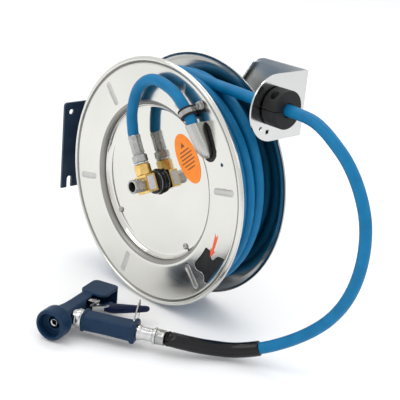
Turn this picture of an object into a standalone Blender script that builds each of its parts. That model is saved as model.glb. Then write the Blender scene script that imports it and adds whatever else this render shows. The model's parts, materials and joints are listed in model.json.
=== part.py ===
"""Open, spring-retracting wash-down hose reel with its guide arm, free hose and spray gun.

Frame: metres, +Z up. X points away from the wall, Y from the front disc to the rear disc.
The origin is the middle of the wall plate's back face, at the height of the axle.
Sizes below are in millimetres; MM turns them into metres.
"""

import math

import bmesh
import bpy
from mathutils import Vector
from mathutils.geometry import tessellate_polygon

MM = 0.001

# Driving dimensions
AXLE_X = 222.5  # wall to axle
FRONT_Y = -57.0  # outer face of the front disc's flat ring
DISC_GAP = 90.0  # front face of the front disc to the rear disc's inner face
REAR_Y = FRONT_Y + DISC_GAP
DISC_R = 190.0
SHEET = 1.2  # disc sheet
DRUM_R = 126.0  # outside of the drum core
HOSE_R = 8.35
SLEEVE_R = 10.8
RECESS = 14.0  # depth of the recessed plate
ARM_Y = 57.3  # front face of the rear frame arm
ARM_T = 5.0
PLATE_T = 4.0  # wall plate
GUIDE_T = 2.5  # guide bracket sheet
GUIDE_X = AXLE_X + 178.5  # inner face of the guide's face plate
GUIDE_Y = -8.6
GUIDE_Z = 159.2
GAP = 0.3
AXLE_R = 12.5
HUB_R = 20.2
BRANCH_DEG = 120.0
SWIVEL_Y = FRONT_Y - 8.0
GUN_X = AXLE_X + 30.0
GUN_Y = -247.0
GUN_Z = -166.5
GUN_DEG = -69.5  # heading of the barrel in the XY plane
HANDLE_SLANT = -0.157
ROUND = 44
MEDIUM = 24
SMALL = 16

# The free hose's centre line, from the top of the winding to the black sleeve
HOSE_ROUTE = [
    (254.5, -6.4, 163.0), (280.0, -7.0, 162.6), (310.0, -7.6, 162.0), (340.0, -8.0, 161.2),
    (372.0, -8.4, 160.2), (402.0, -8.6, 159.2), (435.0, -9.2, 159.8), (473.0, -10.8, 157.5),
    (498.0, -12.9, 149.4), (519.5, -14.8, 137.5), (540.0, -16.7, 123.9), (558.5, -18.6, 106.2),
    (574.0, -20.0, 84.6), (586.5, -21.3, 58.7), (593.0, -22.8, 30.6), (593.8, -23.8, 0.0),
    (588.8, -24.7, -32.3), (577.8, -26.6, -63.6), (561.0, -29.5, -91.7), (541.0, -35.2, -115.0),
    (517.5, -41.5, -136.0), (495.0, -50.5, -152.2), (479.0, -58.6, -161.5),
]
SLEEVE_ROUTE = [
    (460.0, -69.5, -169.9), (441.5, -81.5, -175.3), (425.0, -96.5, -175.4), (411.0, -113.5, -172.8),
    (396.0, -131.0, -168.6), (378.0, -145.5, -166.1),
]
# The short hose from the swivel's branch over the front disc to the scoop
LOOP_ROUTE = [
    (179.0, -66.6, 95.0), (182.4, -68.2, 114.0),
    (190.5, -70.0, 136.0), (206.0, -71.2, 153.0), (226.0, -71.3, 161.5), (250.0, -71.3, 160.0),
    (276.0, -71.0, 150.5), (301.4, -70.5, 130.7), (316.0, -69.6, 112.0), (322.0, -68.2, 102.5),
]


def remove_all_objects():
    for obj in list(bpy.data.objects):
        bpy.data.objects.remove(obj, do_unlink=True)


def make_material(name, colour, roughness, metallic):
    material = bpy.data.materials.new(name)
    material.use_nodes = True
    shader = material.node_tree.nodes["Principled BSDF"]
    shader.inputs["Base Color"].default_value = (*colour, 1.0)
    shader.inputs["Roughness"].default_value = roughness
    shader.inputs["Metallic"].default_value = metallic
    material.diffuse_color = (*colour, 1.0)
    return material


def make_object(name, points, faces, material, origin=(0.0, 0.0, 0.0), parent=None):
    """A mesh object from world points in mm, its faces turned outwards."""
    mesh = bpy.data.meshes.new(name)
    start = Vector(origin)
    mesh.from_pydata([(Vector(p) - start) * MM for p in points], [], faces)
    work = bmesh.new()
    work.from_mesh(mesh)
    bmesh.ops.recalc_face_normals(work, faces=work.faces)
    if work.calc_volume(signed=True) < 0:
        bmesh.ops.reverse_faces(work, faces=work.faces)
    work.to_mesh(mesh)
    work.free()
    mesh.shade_smooth()
    mesh.set_sharp_from_angle(angle=math.radians(35))
    obj = bpy.data.objects.new(name, mesh)
    bpy.context.scene.collection.objects.link(obj)
    obj.location = start * MM
    if parent:
        obj.parent = parent
        obj.location = start * MM - parent.location
    if material:
        mesh.materials.append(material)
    return obj


def make_axis(name, origin):
    empty = bpy.data.objects.new(name, None)
    empty.empty_display_size = 0.02
    empty.location = Vector(origin) * MM
    bpy.context.scene.collection.objects.link(empty)
    return empty


def frame_along(axis):
    """Two unit vectors across an axis."""
    axis = Vector(axis).normalized()
    across = axis.cross(Vector((0, 0, 1)))
    if across.length < 0.1:
        across = axis.cross(Vector((1, 0, 0)))
    across.normalize()
    return axis, across, axis.cross(across)


def turned(profile, centre, axis, segments, phase=0.0):
    """Points and faces of a closed (radius, distance) profile turned about an axis."""
    axis, across, over = frame_along(axis)
    centre = Vector(centre)
    points = []
    rings = []
    for radius, distance in profile:
        count = 1 if radius == 0 else segments
        rings.append((len(points), count))
        for step in range(count):
            angle = phase + 2 * math.pi * step / segments
            side = across * math.cos(angle) + over * math.sin(angle)
            points.append(centre + axis * distance + side * radius)
    faces = []
    for index, (first, count) in enumerate(rings):
        other, other_count = rings[(index + 1) % len(rings)]
        if count == 1 and other_count == 1:
            continue
        for step in range(segments):
            turn = (step + 1) % segments
            if count == 1:
                faces.append((first, other + turn, other + step))
            elif other_count == 1:
                faces.append((first + step, first + turn, other))
            else:
                faces.append((first + step, first + turn, other + turn, other + step))
    return points, faces


def rod(start, end, radius, segments=SMALL, phase=0.0):
    """A plain cylinder or, with few segments, a prism."""
    axis = Vector(end) - Vector(start)
    profile = [(0, 0), (radius, 0), (radius, axis.length), (0, axis.length)]
    return turned(profile, start, axis, segments, phase)


def tube(start, end, inner, outer, segments=MEDIUM):
    axis = Vector(end) - Vector(start)
    profile = [(inner, 0), (outer, 0), (outer, axis.length), (inner, axis.length)]
    return turned(profile, start, axis, segments)


def extruded(outline, place, low, high, holes=()):
    """A flat outline with holes, between two heights; place(u, v, w) gives a world point."""
    loops = [outline, *holes]
    flat = [[Vector((u, v, 0)) for u, v in loop] for loop in loops]
    triangles = tessellate_polygon(flat)
    corners = [p for loop in loops for p in loop]
    count = len(corners)
    points = [place(u, v, low) for u, v in corners] + [place(u, v, high) for u, v in corners]
    faces = [tuple(t) for t in triangles] + [tuple(i + count for i in reversed(t)) for t in triangles]
    first = 0
    for loop in loops:
        for step in range(len(loop)):
            a = first + step
            b = first + (step + 1) % len(loop)
            faces.append((a, b, b + count, a + count))
        first += len(loop)
    return points, faces


def block(low, high, place=None):
    """A box between two corners, through place if given."""
    put = place or (lambda x, y, z: Vector((x, y, z)))
    outline = [(low[0], low[1]), (high[0], low[1]), (high[0], high[1]), (low[0], high[1])]
    return extruded(outline, put, low[2], high[2])


def circle(u, v, radius, segments=SMALL):
    steps = [2 * math.pi * i / segments for i in range(segments)]
    return [(u + radius * math.cos(a), v + radius * math.sin(a)) for a in steps]


def arc(u, v, radius, start_deg, end_deg, steps):
    angles = [math.radians(start_deg + (end_deg - start_deg) * i / steps) for i in range(steps + 1)]
    return [(u + radius * math.cos(a), v + radius * math.sin(a)) for a in angles]


def rounded_rectangle(half_u, half_v, radius, steps=3):
    corners = [(1, 1, 0), (-1, 1, 90), (-1, -1, 180), (1, -1, 270)]
    outline = []
    for sign_u, sign_v, start in corners:
        centre = (sign_u * (half_u - radius), sign_v * (half_v - radius))
        outline += arc(*centre, radius, start, start + 90, steps)
    return outline


def wire(path, radius, sides=6):
    """A round wire swept along points, with flat ends."""
    path = [Vector(p) for p in path]
    points = []
    normal = None
    for index, here in enumerate(path):
        before = path[max(index - 1, 0)]
        after = path[min(index + 1, len(path) - 1)]
        tangent = (after - before).normalized()
        if normal is None:
            normal = frame_along(tangent)[1]
        normal = (normal - tangent * normal.dot(tangent)).normalized()
        side = tangent.cross(normal)
        for step in range(sides):
            angle = 2 * math.pi * step / sides
            points.append(here + normal * radius * math.cos(angle) + side * radius * math.sin(angle))
    faces = [tuple(range(sides)), tuple(range(len(points) - 1, len(points) - sides - 1, -1))]
    for ring in range(len(path) - 1):
        for step in range(sides):
            a = ring * sides + step
            b = ring * sides + (step + 1) % sides
            faces.append((a, b, b + sides, a + sides))
    return points, faces


def smooth_route(points, spacing):
    """Points every spacing mm along a Catmull-Rom curve through the given points."""
    points = [Vector(p) for p in points]
    padded = [points[0] * 2 - points[1], *points, points[-1] * 2 - points[-2]]
    dense = []
    for a, b, c, d in zip(padded, padded[1:], padded[2:], padded[3:]):
        for step in range(12):
            t = step / 12
            dense.append(0.5 * (2 * b + (c - a) * t + (2 * a - 5 * b + 4 * c - d) * t * t
                                + (3 * b - a - 3 * c + d) * t * t * t))
    dense.append(points[-1])
    total = sum((q - p).length for p, q in zip(dense, dense[1:]))
    count = max(2, round(total / spacing))
    wanted = [total * i / count for i in range(count + 1)]
    found = []
    walked = 0.0
    index = 0
    for distance in wanted:
        while index < len(dense) - 2 and walked + (dense[index + 1] - dense[index]).length < distance:
            walked += (dense[index + 1] - dense[index]).length
            index += 1
        piece = dense[index + 1] - dense[index]
        share = min(1.0, (distance - walked) / piece.length)
        found.append(dense[index] + piece * share)
    return found


def hose_curve(name, route, radius, material, parent=None):
    """A round hose as a bevelled poly curve with filled ends."""
    curve = bpy.data.curves.new(name, "CURVE")
    curve.dimensions = "3D"
    curve.bevel_depth = radius * MM
    curve.bevel_resolution = 3
    curve.use_fill_caps = True
    curve.render_resolution_u = 0
    spline = curve.splines.new("POLY")
    spline.points.add(len(route) - 1)
    start = parent.location if parent else Vector((0, 0, 0))
    for point, place in zip(spline.points, route):
        point.co = (*(Vector(place) * MM - start), 1.0)
    curve.materials.append(material)
    obj = bpy.data.objects.new(name, curve)
    bpy.context.scene.collection.objects.link(obj)
    if parent:
        obj.parent = parent
    return obj


def add_boolean(obj, shape, operation):
    """Cuts or joins a helper solid, which stays hidden."""
    points, faces = shape
    number = len(obj.modifiers) + 1
    helper = make_object(f"{obj.name}_helper_{number}", points, faces, None)
    helper.hide_render = True
    helper.display_type = "WIRE"
    boolean = obj.modifiers.new(f"{operation.title()} {number}", "BOOLEAN")
    boolean.operation = operation
    boolean.solver = "EXACT"
    boolean.object = helper
    return obj


def cut(obj, shape):
    return add_boolean(obj, shape, "DIFFERENCE")


def join(obj, shape):
    return add_boolean(obj, shape, "UNION")


def merged(*shapes):
    """Several separate solids as one helper."""
    points = []
    faces = []
    for more_points, more_faces in shapes:
        start = len(points)
        points += more_points
        faces += [tuple(i + start for i in face) for face in more_faces]
    return points, faces


def on_disc(a, z, y):
    """A place on the front of the drum: a across from the axle, z up, y along the axle."""
    return Vector((AXLE_X + a, y, z))


def polar(radius, degrees):
    angle = math.radians(degrees)
    return radius * math.cos(angle), radius * math.sin(angle)


def about_axle(profile, plane_y, segments=ROUND):
    return turned(profile, (AXLE_X, plane_y, 0), (0, 1, 0), segments)


def make_materials():
    return {
        "stainless": make_material("Stainless", (0.78, 0.78, 0.76), 0.12, 1.0),
        "frame": make_material("Frame", (0.045, 0.06, 0.085), 0.4, 0.0),
        "steel": make_material("Steel", (0.5, 0.5, 0.5), 0.35, 1.0),
        "brass": make_material("Brass", (0.75, 0.55, 0.2), 0.3, 1.0),
        "chrome": make_material("Chrome", (0.85, 0.85, 0.86), 0.06, 1.0),
        "hose": make_material("Hose", (0.01, 0.16, 0.42), 0.4, 0.0),
        "rubber": make_material("Rubber", (0.012, 0.012, 0.013), 0.6, 0.0),
        "gun": make_material("GunCover", (0.02, 0.04, 0.075), 0.5, 0.0),
        "nylon": make_material("Nylon", (0.03, 0.03, 0.03), 0.5, 0.0),
    }


def build_wall_side(mats):
    def on_wall(y, z, x):
        return Vector((x, y, z))

    half = 60.5
    slot_y, slot_top, slot_half = 45.4, -57.0, 4.75
    top, bottom = 70.5, -76.8
    outline = [(-half, bottom)]
    for side in (-slot_y, slot_y):
        outline.append((side - slot_half, bottom))
        outline += arc(side, slot_top - slot_half, slot_half, 180, 0, 6)
        outline.append((side + slot_half, bottom))
    outline.append((half, bottom))
    outline += arc(half - 5, top - 5, 5, 0, 90, 3)
    outline += arc(5 - half, top - 5, 5, 90, 180, 3)
    bolt_places = [(38.0, -28.0), (38.0, 24.0)]
    holes = [circle(y, 54.5, 4.5) for y in (-46.5, 46.5)]
    holes += [circle(y, z, 4.3, 12) for y, z in bolt_places]
    make_object("wall_plate", *extruded(outline, on_wall, 0, PLATE_T, holes), mats["frame"])

    def beside(a, z, y):
        return Vector((AXLE_X + a, y, z))

    foot = PLATE_T + GAP
    start = foot - AXLE_X
    outline = [
        (start, 44), (-60, 48), (10, 80), (70, 80), (104, 52), (104, 20), (50, -36), (20, -48),
        (-20, -48), (-120, -46), (start, -44),
    ]
    guide_bolts = [(52.0, 60.0), (86.0, 42.0)]
    holes = [circle(0, 0, AXLE_R + GAP, 20)] + [circle(a, z, 4.3, 12) for a, z in guide_bolts]
    arm = make_object("frame_arm", *extruded(outline, beside, ARM_Y, ARM_Y + ARM_T, holes), mats["frame"])
    join(arm, block((foot, 24, -44), (foot + 5, ARM_Y + 2, 44)))
    cut(arm, merged(*[rod((foot - 5, y, z), (foot + 20, y, z), 4.3, 12) for y, z in bolt_places]))
    for number, (y, z) in enumerate(bolt_places, 1):
        head = foot + 5 + GAP
        profile = [(0, 1), (4, 1), (4, head), (7.5, head), (7.5, head + 5.5), (0, head + 5.5)]
        make_object(f"arm_bolt_{number}", *turned(profile, (0, y, z), (1, 0, 0), 12), mats["steel"])
    for number, (a, z) in enumerate(guide_bolts, 1):
        front = ARM_Y - GUIDE_T - 2 * GAP
        profile = [(0, -5), (7, -5), (7, 0), (4, 0), (4, ARM_Y + 4.5 - front), (0, ARM_Y + 4.5 - front)]
        place = (AXLE_X + a, front, z)
        make_object(f"guide_bolt_{number}", *turned(profile, place, (0, 1, 0), 12), mats["steel"])
    return guide_bolts


def build_guide(mats, guide_bolts):
    flange_y = ARM_Y - GAP - GUIDE_T

    def beside(a, z, y):
        return Vector((AXLE_X + a, y, z))

    outline = [
        (30, 50), (40, 34), (80, 18), (104, 22), (122, 109.4), (181, 109.4), (181, 203.5), (96, 203.5),
        (86, 200), (75, 183), (58, 158),
    ]
    holes = [circle(a, z, 4.3, 12) for a, z in guide_bolts]
    shape = extruded(outline, beside, flange_y, flange_y + GUIDE_T, holes)
    bracket = make_object("guide_bracket", *shape, mats["stainless"])

    def on_face(y, z, x):
        return Vector((x, y, z))

    end_r = 47.0
    end_y, end_z = FRONT_Y + 51.0, 156.4
    face = arc(end_y, end_z, end_r, 90, 270, 14)
    face += [(flange_y + 1.5, end_z - end_r), (flange_y + 1.5, end_z + end_r)]
    hole = circle(GUIDE_Y, GUIDE_Z, 19.5, 20)
    join(bracket, extruded(face, on_face, GUIDE_X, GUIDE_X + GUIDE_T, [hole]))
    corner, top = Vector((58, 158, 0)), Vector((86, 200, 0))
    along = (top - corner).normalized()
    across = Vector((-along.y, along.x, 0))

    def on_edge(s, t, y):
        spot = corner + along * s + across * t
        return beside(spot.x, spot.y, y)

    join(bracket, block((2, -1.7, flange_y - 6), (46, 0.6, flange_y + 1), on_edge))
    profile = [(11, -3.5), (23.5, -3.5), (23.5, -GAP), (19.2, -GAP), (19.2, GUIDE_T + 1), (12, GUIDE_T + 1)]
    place = (GUIDE_X, GUIDE_Y, GUIDE_Z)
    make_object("guide_bush", *turned(profile, place, (1, 0, 0), 20), mats["nylon"])


def build_bumper(mats):
    """Two rubber half rings clamped on the hose against the guide."""
    start = GUIDE_X + GUIDE_T + 1.6
    width = 25.0
    outer = 27.0
    bore = HOSE_R + 0.9
    screw_sides = (-17.0, 17.0)

    def across(y, z, x):
        return Vector((x, y, z))

    for name, sign in (("bumper_upper", 1), ("bumper_lower", -1)):
        first, last = (0.6, 179.4) if sign > 0 else (180.6, 359.4)
        inner_first, inner_last = (179, 1) if sign > 0 else (359, 181)
        outline = arc(0, 0, outer, first, last, 16) + arc(0, 0, bore, inner_first, inner_last, 8)
        outline = [(GUIDE_Y + y, GUIDE_Z + 0.3 + z) for y, z in outline]
        half = make_object(name, *extruded(outline, across, start, start + width), mats["rubber"])
        holes = []
        for side in screw_sides:
            spot = Vector((start + width / 2, GUIDE_Y + side, GUIDE_Z))
            if sign > 0:
                holes.append(rod(spot + Vector((0, 0, 10)), spot + Vector((0, 0, 40)), 5.5, 12))
                holes.append(rod(spot + Vector((0, 0, -5)), spot + Vector((0, 0, 12)), 3.0, 12))
            else:
                holes.append(rod(spot + Vector((0, 0, -14)), spot + Vector((0, 0, 5)), 3.0, 12))
        for hole in holes:
            cut(half, hole)
    for number, side in enumerate(screw_sides, 1):
        place = (start + width / 2, GUIDE_Y + side, GUIDE_Z)
        profile = [(0, -13), (2.6, -13), (2.6, 10.4), (5, 10.4), (5, 14.5), (0, 14.5)]
        make_object(f"bumper_screw_{number}", *turned(profile, place, (0, 0, 1), 12), mats["steel"])


def build_discs(mats, drum):
    front = [
        (119.5, 7.0), (122.0, 2.4), (127.5, 0.0), (180.8, 0.0), (181.8, 0.8), (185.6, -2.2),
        (DISC_R, 2.0), (188.6, 5.0), (187.2, 4.2), (188.4, 2.2), (185.6, -0.8), (182.0, 2.0),
        (180.2, SHEET), (127.9, SHEET), (123.4, 3.2), (120.7, 7.2),
    ]
    centre = (AXLE_X, FRONT_Y, 0)
    disc = make_object("front_disc", *about_axle(front, FRONT_Y), mats["stainless"], centre, drum)

    def through(a, z, y):
        return on_disc(a, z, y)

    slots = []
    for step in range(6):
        turn = math.radians(12.4 + 60 * step)
        across = Vector((-math.sin(turn), math.cos(turn)))
        outward = Vector((math.cos(turn), math.sin(turn)))
        loop = arc(169, 0, 5, -90, 90, 4) + arc(139.5, 0, 5, 90, 270, 4)
        outline = [tuple(outward * s + across * t) for s, t in loop]
        slots.append(extruded(outline, through, FRONT_Y - 5, FRONT_Y + 0.5))
    cut(disc, merged(*slots))
    window = arc(0, 0, 140, -40, -25, 3)
    window += [polar(152, -24), polar(154, -26.5), polar(158.5, -28.4), polar(163, -26.5), polar(166, -21.5)]
    window += arc(0, 0, 179, -20.5, -37, 4)
    window += [polar(174, -39), polar(152, -41.5)]
    cut(disc, extruded(window, through, FRONT_Y - 8, FRONT_Y + 8))
    way = Vector((0.46, -0.888))
    side = Vector((-way.y, way.x))
    mouth = Vector((105.5, 92))
    loop = arc(14, 0, 11.5, -90, 90, 5) + arc(-14, 0, 11.5, 90, 270, 5)
    outline = [tuple(mouth + way * s + side * t) for s, t in loop]
    cut(disc, extruded(outline, through, FRONT_Y - 8, FRONT_Y + 8))

    dish = [
        (10, RECESS), (113.5, RECESS), (117.4, RECESS - 2.2), (118.3, RECESS - 5.8), (119.8, RECESS - 5.8),
        (119.0, RECESS - 1.4), (114.2, RECESS + 1.5), (10, RECESS + 1.5),
    ]
    plate = make_object("recess_plate", *about_axle(dish, FRONT_Y), mats["stainless"], centre, drum)
    screw_places = [polar(108, 42 + 90 * step) for step in range(4)]
    holes = [rod(on_disc(a, z, FRONT_Y + 10), on_disc(a, z, FRONT_Y + 40), 2.4, 10) for a, z in screw_places]
    cut(plate, merged(*holes))
    for number, (a, z) in enumerate(screw_places, 1):
        head = RECESS - 2.7
        profile = [(0, head), (4.0, head), (4.6, head + 2.4), (2.1, head + 2.4), (2.1, 33), (0, 33)]
        shape = turned(profile, on_disc(a, z, FRONT_Y), (0, 1, 0), 12)
        make_object(f"plate_screw_{number}", *shape, mats["steel"], centre, drum)

    core = [(DRUM_R - 1.5, 5.5), (DRUM_R, 3.5), (DRUM_R, 89.7), (DRUM_R - 1.5, 89.7)]
    make_object("drum_core", *about_axle(core, FRONT_Y), mats["steel"], centre, drum)
    rear = [
        (HUB_R, 0.0), (181.0, 0.0), (185.6, 1.0), (188.6, 0.0), (DISC_R, -2.0), (DISC_R, 1.2),
        (186.0, 2.4), (180.4, SHEET), (HUB_R, SHEET),
    ]
    make_object("rear_disc", *about_axle(rear, REAR_Y), mats["stainless"], centre, drum)
    cover = [(HUB_R, 30), (116, 30), (116, 33), (HUB_R, 33)]
    lid = make_object("spring_case_cover", *about_axle(cover, FRONT_Y), mats["steel"], centre, drum)
    cut(lid, merged(*holes))
    case = [
        (110, 33.4), (112, 33.4), (112, 89.6), (HUB_R, 89.6), (HUB_R, 87.4), (110, 87.4),
    ]
    make_object("spring_case", *about_axle(case, FRONT_Y, 32), mats["steel"], centre, drum)
    coil = [
        (126.4, -52), (129.5, -54.8), (171.7, -54.8), (171.7, -15.8), (157.3, -15.2), (157.3, 16.5),
        (143.2, 17.5), (143.2, 32.4), (126.4, 32.4),
    ]
    shape = turned(coil, (AXLE_X, 0, 0), (0, 1, 0), ROUND)
    make_object("wound_hose", *shape, mats["hose"], centre, drum)
    bush = [(AXLE_R + GAP, 30), (19.8, 30), (19.8, 40), (AXLE_R + GAP, 40)]
    make_object("front_hub_bush", *about_axle(bush, FRONT_Y, 20), mats["nylon"], centre, drum)
    bush = [(AXLE_R + GAP, 84), (19.8, 84), (19.8, 101), (AXLE_R + GAP, 101)]
    make_object("rear_hub_bush", *about_axle(bush, FRONT_Y, 20), mats["nylon"], centre, drum)


def build_ratchet(mats, drum):
    teeth = 12
    outline = []
    for step in range(teeth):
        outline.append(polar(50, 360 * step / teeth))
        outline.append(polar(43, 360 * (step + 0.12) / teeth))
    shape = extruded(outline, on_disc, FRONT_Y + 92, FRONT_Y + 98, [circle(0, 0, HUB_R, 20)])
    make_object("ratchet_wheel", *shape, mats["steel"], (AXLE_X, FRONT_Y, 0), drum)
    pivot = (-46.0, 62.0)
    axis = make_axis("pawl_axis", on_disc(*pivot, FRONT_Y + 95))
    outline = arc(*pivot, 8, 70, 290, 8) + [(-20, 53.5), (-8, 51.5), (-8, 57.5), (-22, 64)]
    shape = extruded(outline, on_disc, FRONT_Y + 93.4, FRONT_Y + 97.6, [circle(*pivot, 4.3, 12)])
    make_object("pawl", *shape, mats["steel"], axis.location / MM, axis)
    shape = rod(on_disc(*pivot, FRONT_Y + 92.2), on_disc(*pivot, ARM_Y - GAP), 4.0, 12)
    make_object("pawl_pin", *shape, mats["steel"])
    turns = 3
    path = []
    for step in range(turns * 10 + 1):
        angle = 2 * math.pi * step / 10
        y = FRONT_Y + 100 + 9.0 * step / (turns * 10)
        path.append(on_disc(pivot[0] + 6.2 * math.cos(angle), pivot[1] + 6.2 * math.sin(angle), y))
    make_object("pawl_spring", *wire(path, 0.8, 5), mats["steel"])


def build_axle(mats):
    start = (AXLE_X, FRONT_Y, 0)
    back = ARM_Y - FRONT_Y
    profile = [
        (0, 26), (AXLE_R, 26), (AXLE_R, 41), (16, 41), (16, 83), (AXLE_R, 83), (AXLE_R, 103), (18, 103),
        (18, back - GAP), (AXLE_R, back - GAP),
        (AXLE_R, back + 20), (0, back + 20),
    ]
    make_object("axle", *turned(profile, start, (0, 1, 0), 20), mats["steel"])
    outside = ARM_Y + ARM_T + GAP
    shape = tube((AXLE_X, outside, 0), (AXLE_X, outside + 2, 0), AXLE_R + GAP, 22, 20)
    make_object("axle_washer", *shape, mats["steel"])
    hexagon = [polar(20, 60 * i) for i in range(6)]
    nut = extruded(hexagon, on_disc, outside + 2.3, outside + 12, [circle(0, 0, AXLE_R + GAP, 20)])
    make_object("axle_nut", *nut, mats["steel"])
    turns, steps, inner, outer, strip = 5, 14, 17.6, 105.0, 0.5
    edge_in = []
    edge_out = []
    for step in range(turns * steps + 1):
        angle = 2 * math.pi * step / steps
        radius = inner + (outer - inner) * step / (turns * steps)
        edge_in.append(((radius - strip) * math.cos(angle), (radius - strip) * math.sin(angle)))
        edge_out.append(((radius + strip) * math.cos(angle), (radius + strip) * math.sin(angle)))
    points = []
    for inside, outside_point in zip(edge_in, edge_out):
        for a, z in (inside, outside_point):
            points.append(on_disc(a, z, FRONT_Y + 44))
            points.append(on_disc(a, z, FRONT_Y + 80))
    faces = [(0, 1, 3, 2)]
    for step in range(turns * steps):
        a = step * 4
        faces += [(a, a + 1, a + 5, a + 4), (a + 2, a + 6, a + 7, a + 3)]
        faces += [(a, a + 4, a + 6, a + 2), (a + 1, a + 3, a + 7, a + 5)]
    last = turns * steps * 4
    faces.append((last, last + 2, last + 3, last + 1))
    make_object("mainspring", points, faces, mats["steel"])


def build_swivel(mats, drum):
    centre = (AXLE_X, FRONT_Y, 0)
    out_a, out_z = polar(1, BRANCH_DEG)
    side_a, side_z = -out_z, out_a
    half = 13.5

    def placed(s, t, y):
        return on_disc(out_a * s + side_a * t, out_z * s + side_z * t, y)

    shape = block((-half, -half, FRONT_Y - 18), (half, half, FRONT_Y), placed)
    body = make_object("swivel_block", *shape, mats["brass"], centre, drum)
    cut(body, rod(on_disc(0, 0, FRONT_Y - 20), on_disc(0, 0, FRONT_Y - 4), 10, 20))
    cut(body, rod(placed(0, 0, SWIVEL_Y), placed(30, 0, SWIVEL_Y), 5.0, 12))
    nipple = [
        (5.6, -37.5), (10.4, -37.5), (10.4, -18.4), (9.6, -18.4), (9.6, -6), (5.6, -6),
    ]
    axis = make_axis("inlet_axis", centre)
    axis.parent = drum
    axis.location = Vector(centre) * MM - drum.location
    obj = make_object("inlet_nipple", *about_axle(nipple, FRONT_Y, 20), mats["steel"], centre)
    obj.parent = axis
    obj.location = (0, 0, 0)
    stack = [(0, 0.3), (13, 0.3), (13, 4.6), (17.5, 4.6), (17.5, 10), (19, 10), (19, 13.7), (0, 13.7)]
    make_object("swivel_seat", *about_axle(stack, FRONT_Y, 20), mats["steel"], centre, drum)

    def branch_hexagon(name, first, last, radius, bore, material):
        along = Vector((out_a, 0, out_z))
        start = Vector((AXLE_X, SWIVEL_Y, 0))
        _, across, over = frame_along(along)

        def put(u, v, w):
            return start + across * u + over * v + along * w

        loop = [polar(radius, 60 * i) for i in range(6)]
        shape = extruded(loop, put, first, last, [circle(0, 0, bore, 12)])
        make_object(name, *shape, material, centre, drum)

    branch_hexagon("branch_adapter", half + GAP, 30.5, 12.0, 5.0, mats["brass"])
    branch_hexagon("branch_nut", 33.6, 45.2, 11.2, 5.0, mats["steel"])
    along = Vector((out_a, 0, out_z))
    start = Vector((AXLE_X, SWIVEL_Y, 0))
    shape = tube(start + along * 30.8, start + along * 33.3, 5.0, 11.6, 20)
    make_object("branch_collar", *shape, mats["chrome"], centre, drum)
    shape = tube(start + along * 45.5, start + along * 75.4, 5.0, 9.5, 20)
    make_object("loop_ferrule", *shape, mats["steel"], centre, drum)

    loop_line = [start + along * 75.7] + smooth_route([start + along * 80] + LOOP_ROUTE, 20)
    hose_curve("hose_loop", loop_line, HOSE_R, mats["hose"], drum)

    spot = Vector((301.4, -70.5, 130.7))
    way = Vector((0.70, 0.0, -0.714)).normalized()
    outward = Vector((0.714, 0, 0.70))
    shape = tube(spot - way * 6.0, spot + way * 6.0, HOSE_R + 0.8, 10.4, 16)
    make_object("clamp_lining", *shape, mats["rubber"], centre, drum)
    shape = tube(spot - way * 3.8, spot + way * 3.8, 10.7, 11.9, 20)
    clamp = make_object("hose_clamp", *shape, mats["stainless"], centre, drum)

    def on_foot(s, t, y):
        return Vector((spot.x, y, spot.z)) + way * s + outward * t

    join(clamp, block((-5.5, 2, FRONT_Y - 3.0), (5.5, 24, FRONT_Y - 1.6), on_foot))
    bolt = on_foot(0, 18.5, FRONT_Y)
    cut(clamp, rod(bolt + Vector((0, -6, 0)), bolt + Vector((0, 2, 0)), 2.9, 10))
    profile = [(0, -7.5), (5.5, -7.5), (5.5, -3.3), (2.5, -3.3), (2.5, -0.4), (0, -0.4)]
    make_object("clamp_bolt", *turned(profile, bolt, (0, 1, 0), 6), mats["steel"], centre, drum)

    build_scoop(mats, drum)


def build_scoop(mats, drum):
    """A tapering stainless half tube over the place where the loop enters the drum."""
    first, last = Vector((313, 0, 117)), Vector((337, 0, 75))
    way = (last - first).normalized()
    across = Vector((way.z, 0, -way.x))
    foot = FRONT_Y - 0.4
    stations = [(0.0, 10.9, 12.8), (0.4, 10.9, 10.2), (0.75, 10.2, 4.6), (1.0, 7.5, 0.8)]
    steps = 8
    points = []
    for share, radius, lift in stations:
        middle = first.lerp(last, share)
        for wall in (0.0, 1.4):
            for step in range(steps + 1):
                angle = math.pi * step / steps
                reach = radius - wall
                high = (lift + reach * math.sin(angle)) if 0 < step < steps else 0.0
                spot = middle + across * reach * math.cos(angle)
                points.append(Vector((spot.x, foot - high, spot.z)))
    ring = 2 * (steps + 1)
    order = list(range(steps + 1)) + list(range(ring - 1, steps, -1))
    faces = []
    for station in range(len(stations) - 1):
        for a, b in zip(order, order[1:] + order[:1]):
            low = station * ring
            faces.append((low + a, low + b, low + ring + b, low + ring + a))
    for low in (0, (len(stations) - 1) * ring):
        for step in range(steps):
            faces.append((low + step, low + step + 1, low + steps + 2 + step, low + steps + 1 + step))
    make_object("scoop", points, faces, mats["stainless"], (AXLE_X, FRONT_Y, 0), drum)


def gun_place(u, v, w):
    """Gun coordinates: u forward along the barrel, v towards the handle, w up."""
    turn = math.radians(GUN_DEG)
    forward = Vector((math.cos(turn), math.sin(turn), 0))
    sideways = Vector((-math.sin(turn), math.cos(turn), 0))
    return Vector((GUN_X, GUN_Y, GUN_Z)) + forward * u + sideways * v + Vector((0, 0, w))


def handle_place(distance, offset=0.0, w=0.0):
    """A place along the handle's axis, distance from the barrel's axis."""
    length = math.hypot(1, HANDLE_SLANT)
    along_u, along_v = HANDLE_SLANT / length, 1 / length
    return gun_place(-27 + along_u * distance - along_v * offset, along_v * distance + along_u * offset, w)


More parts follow.
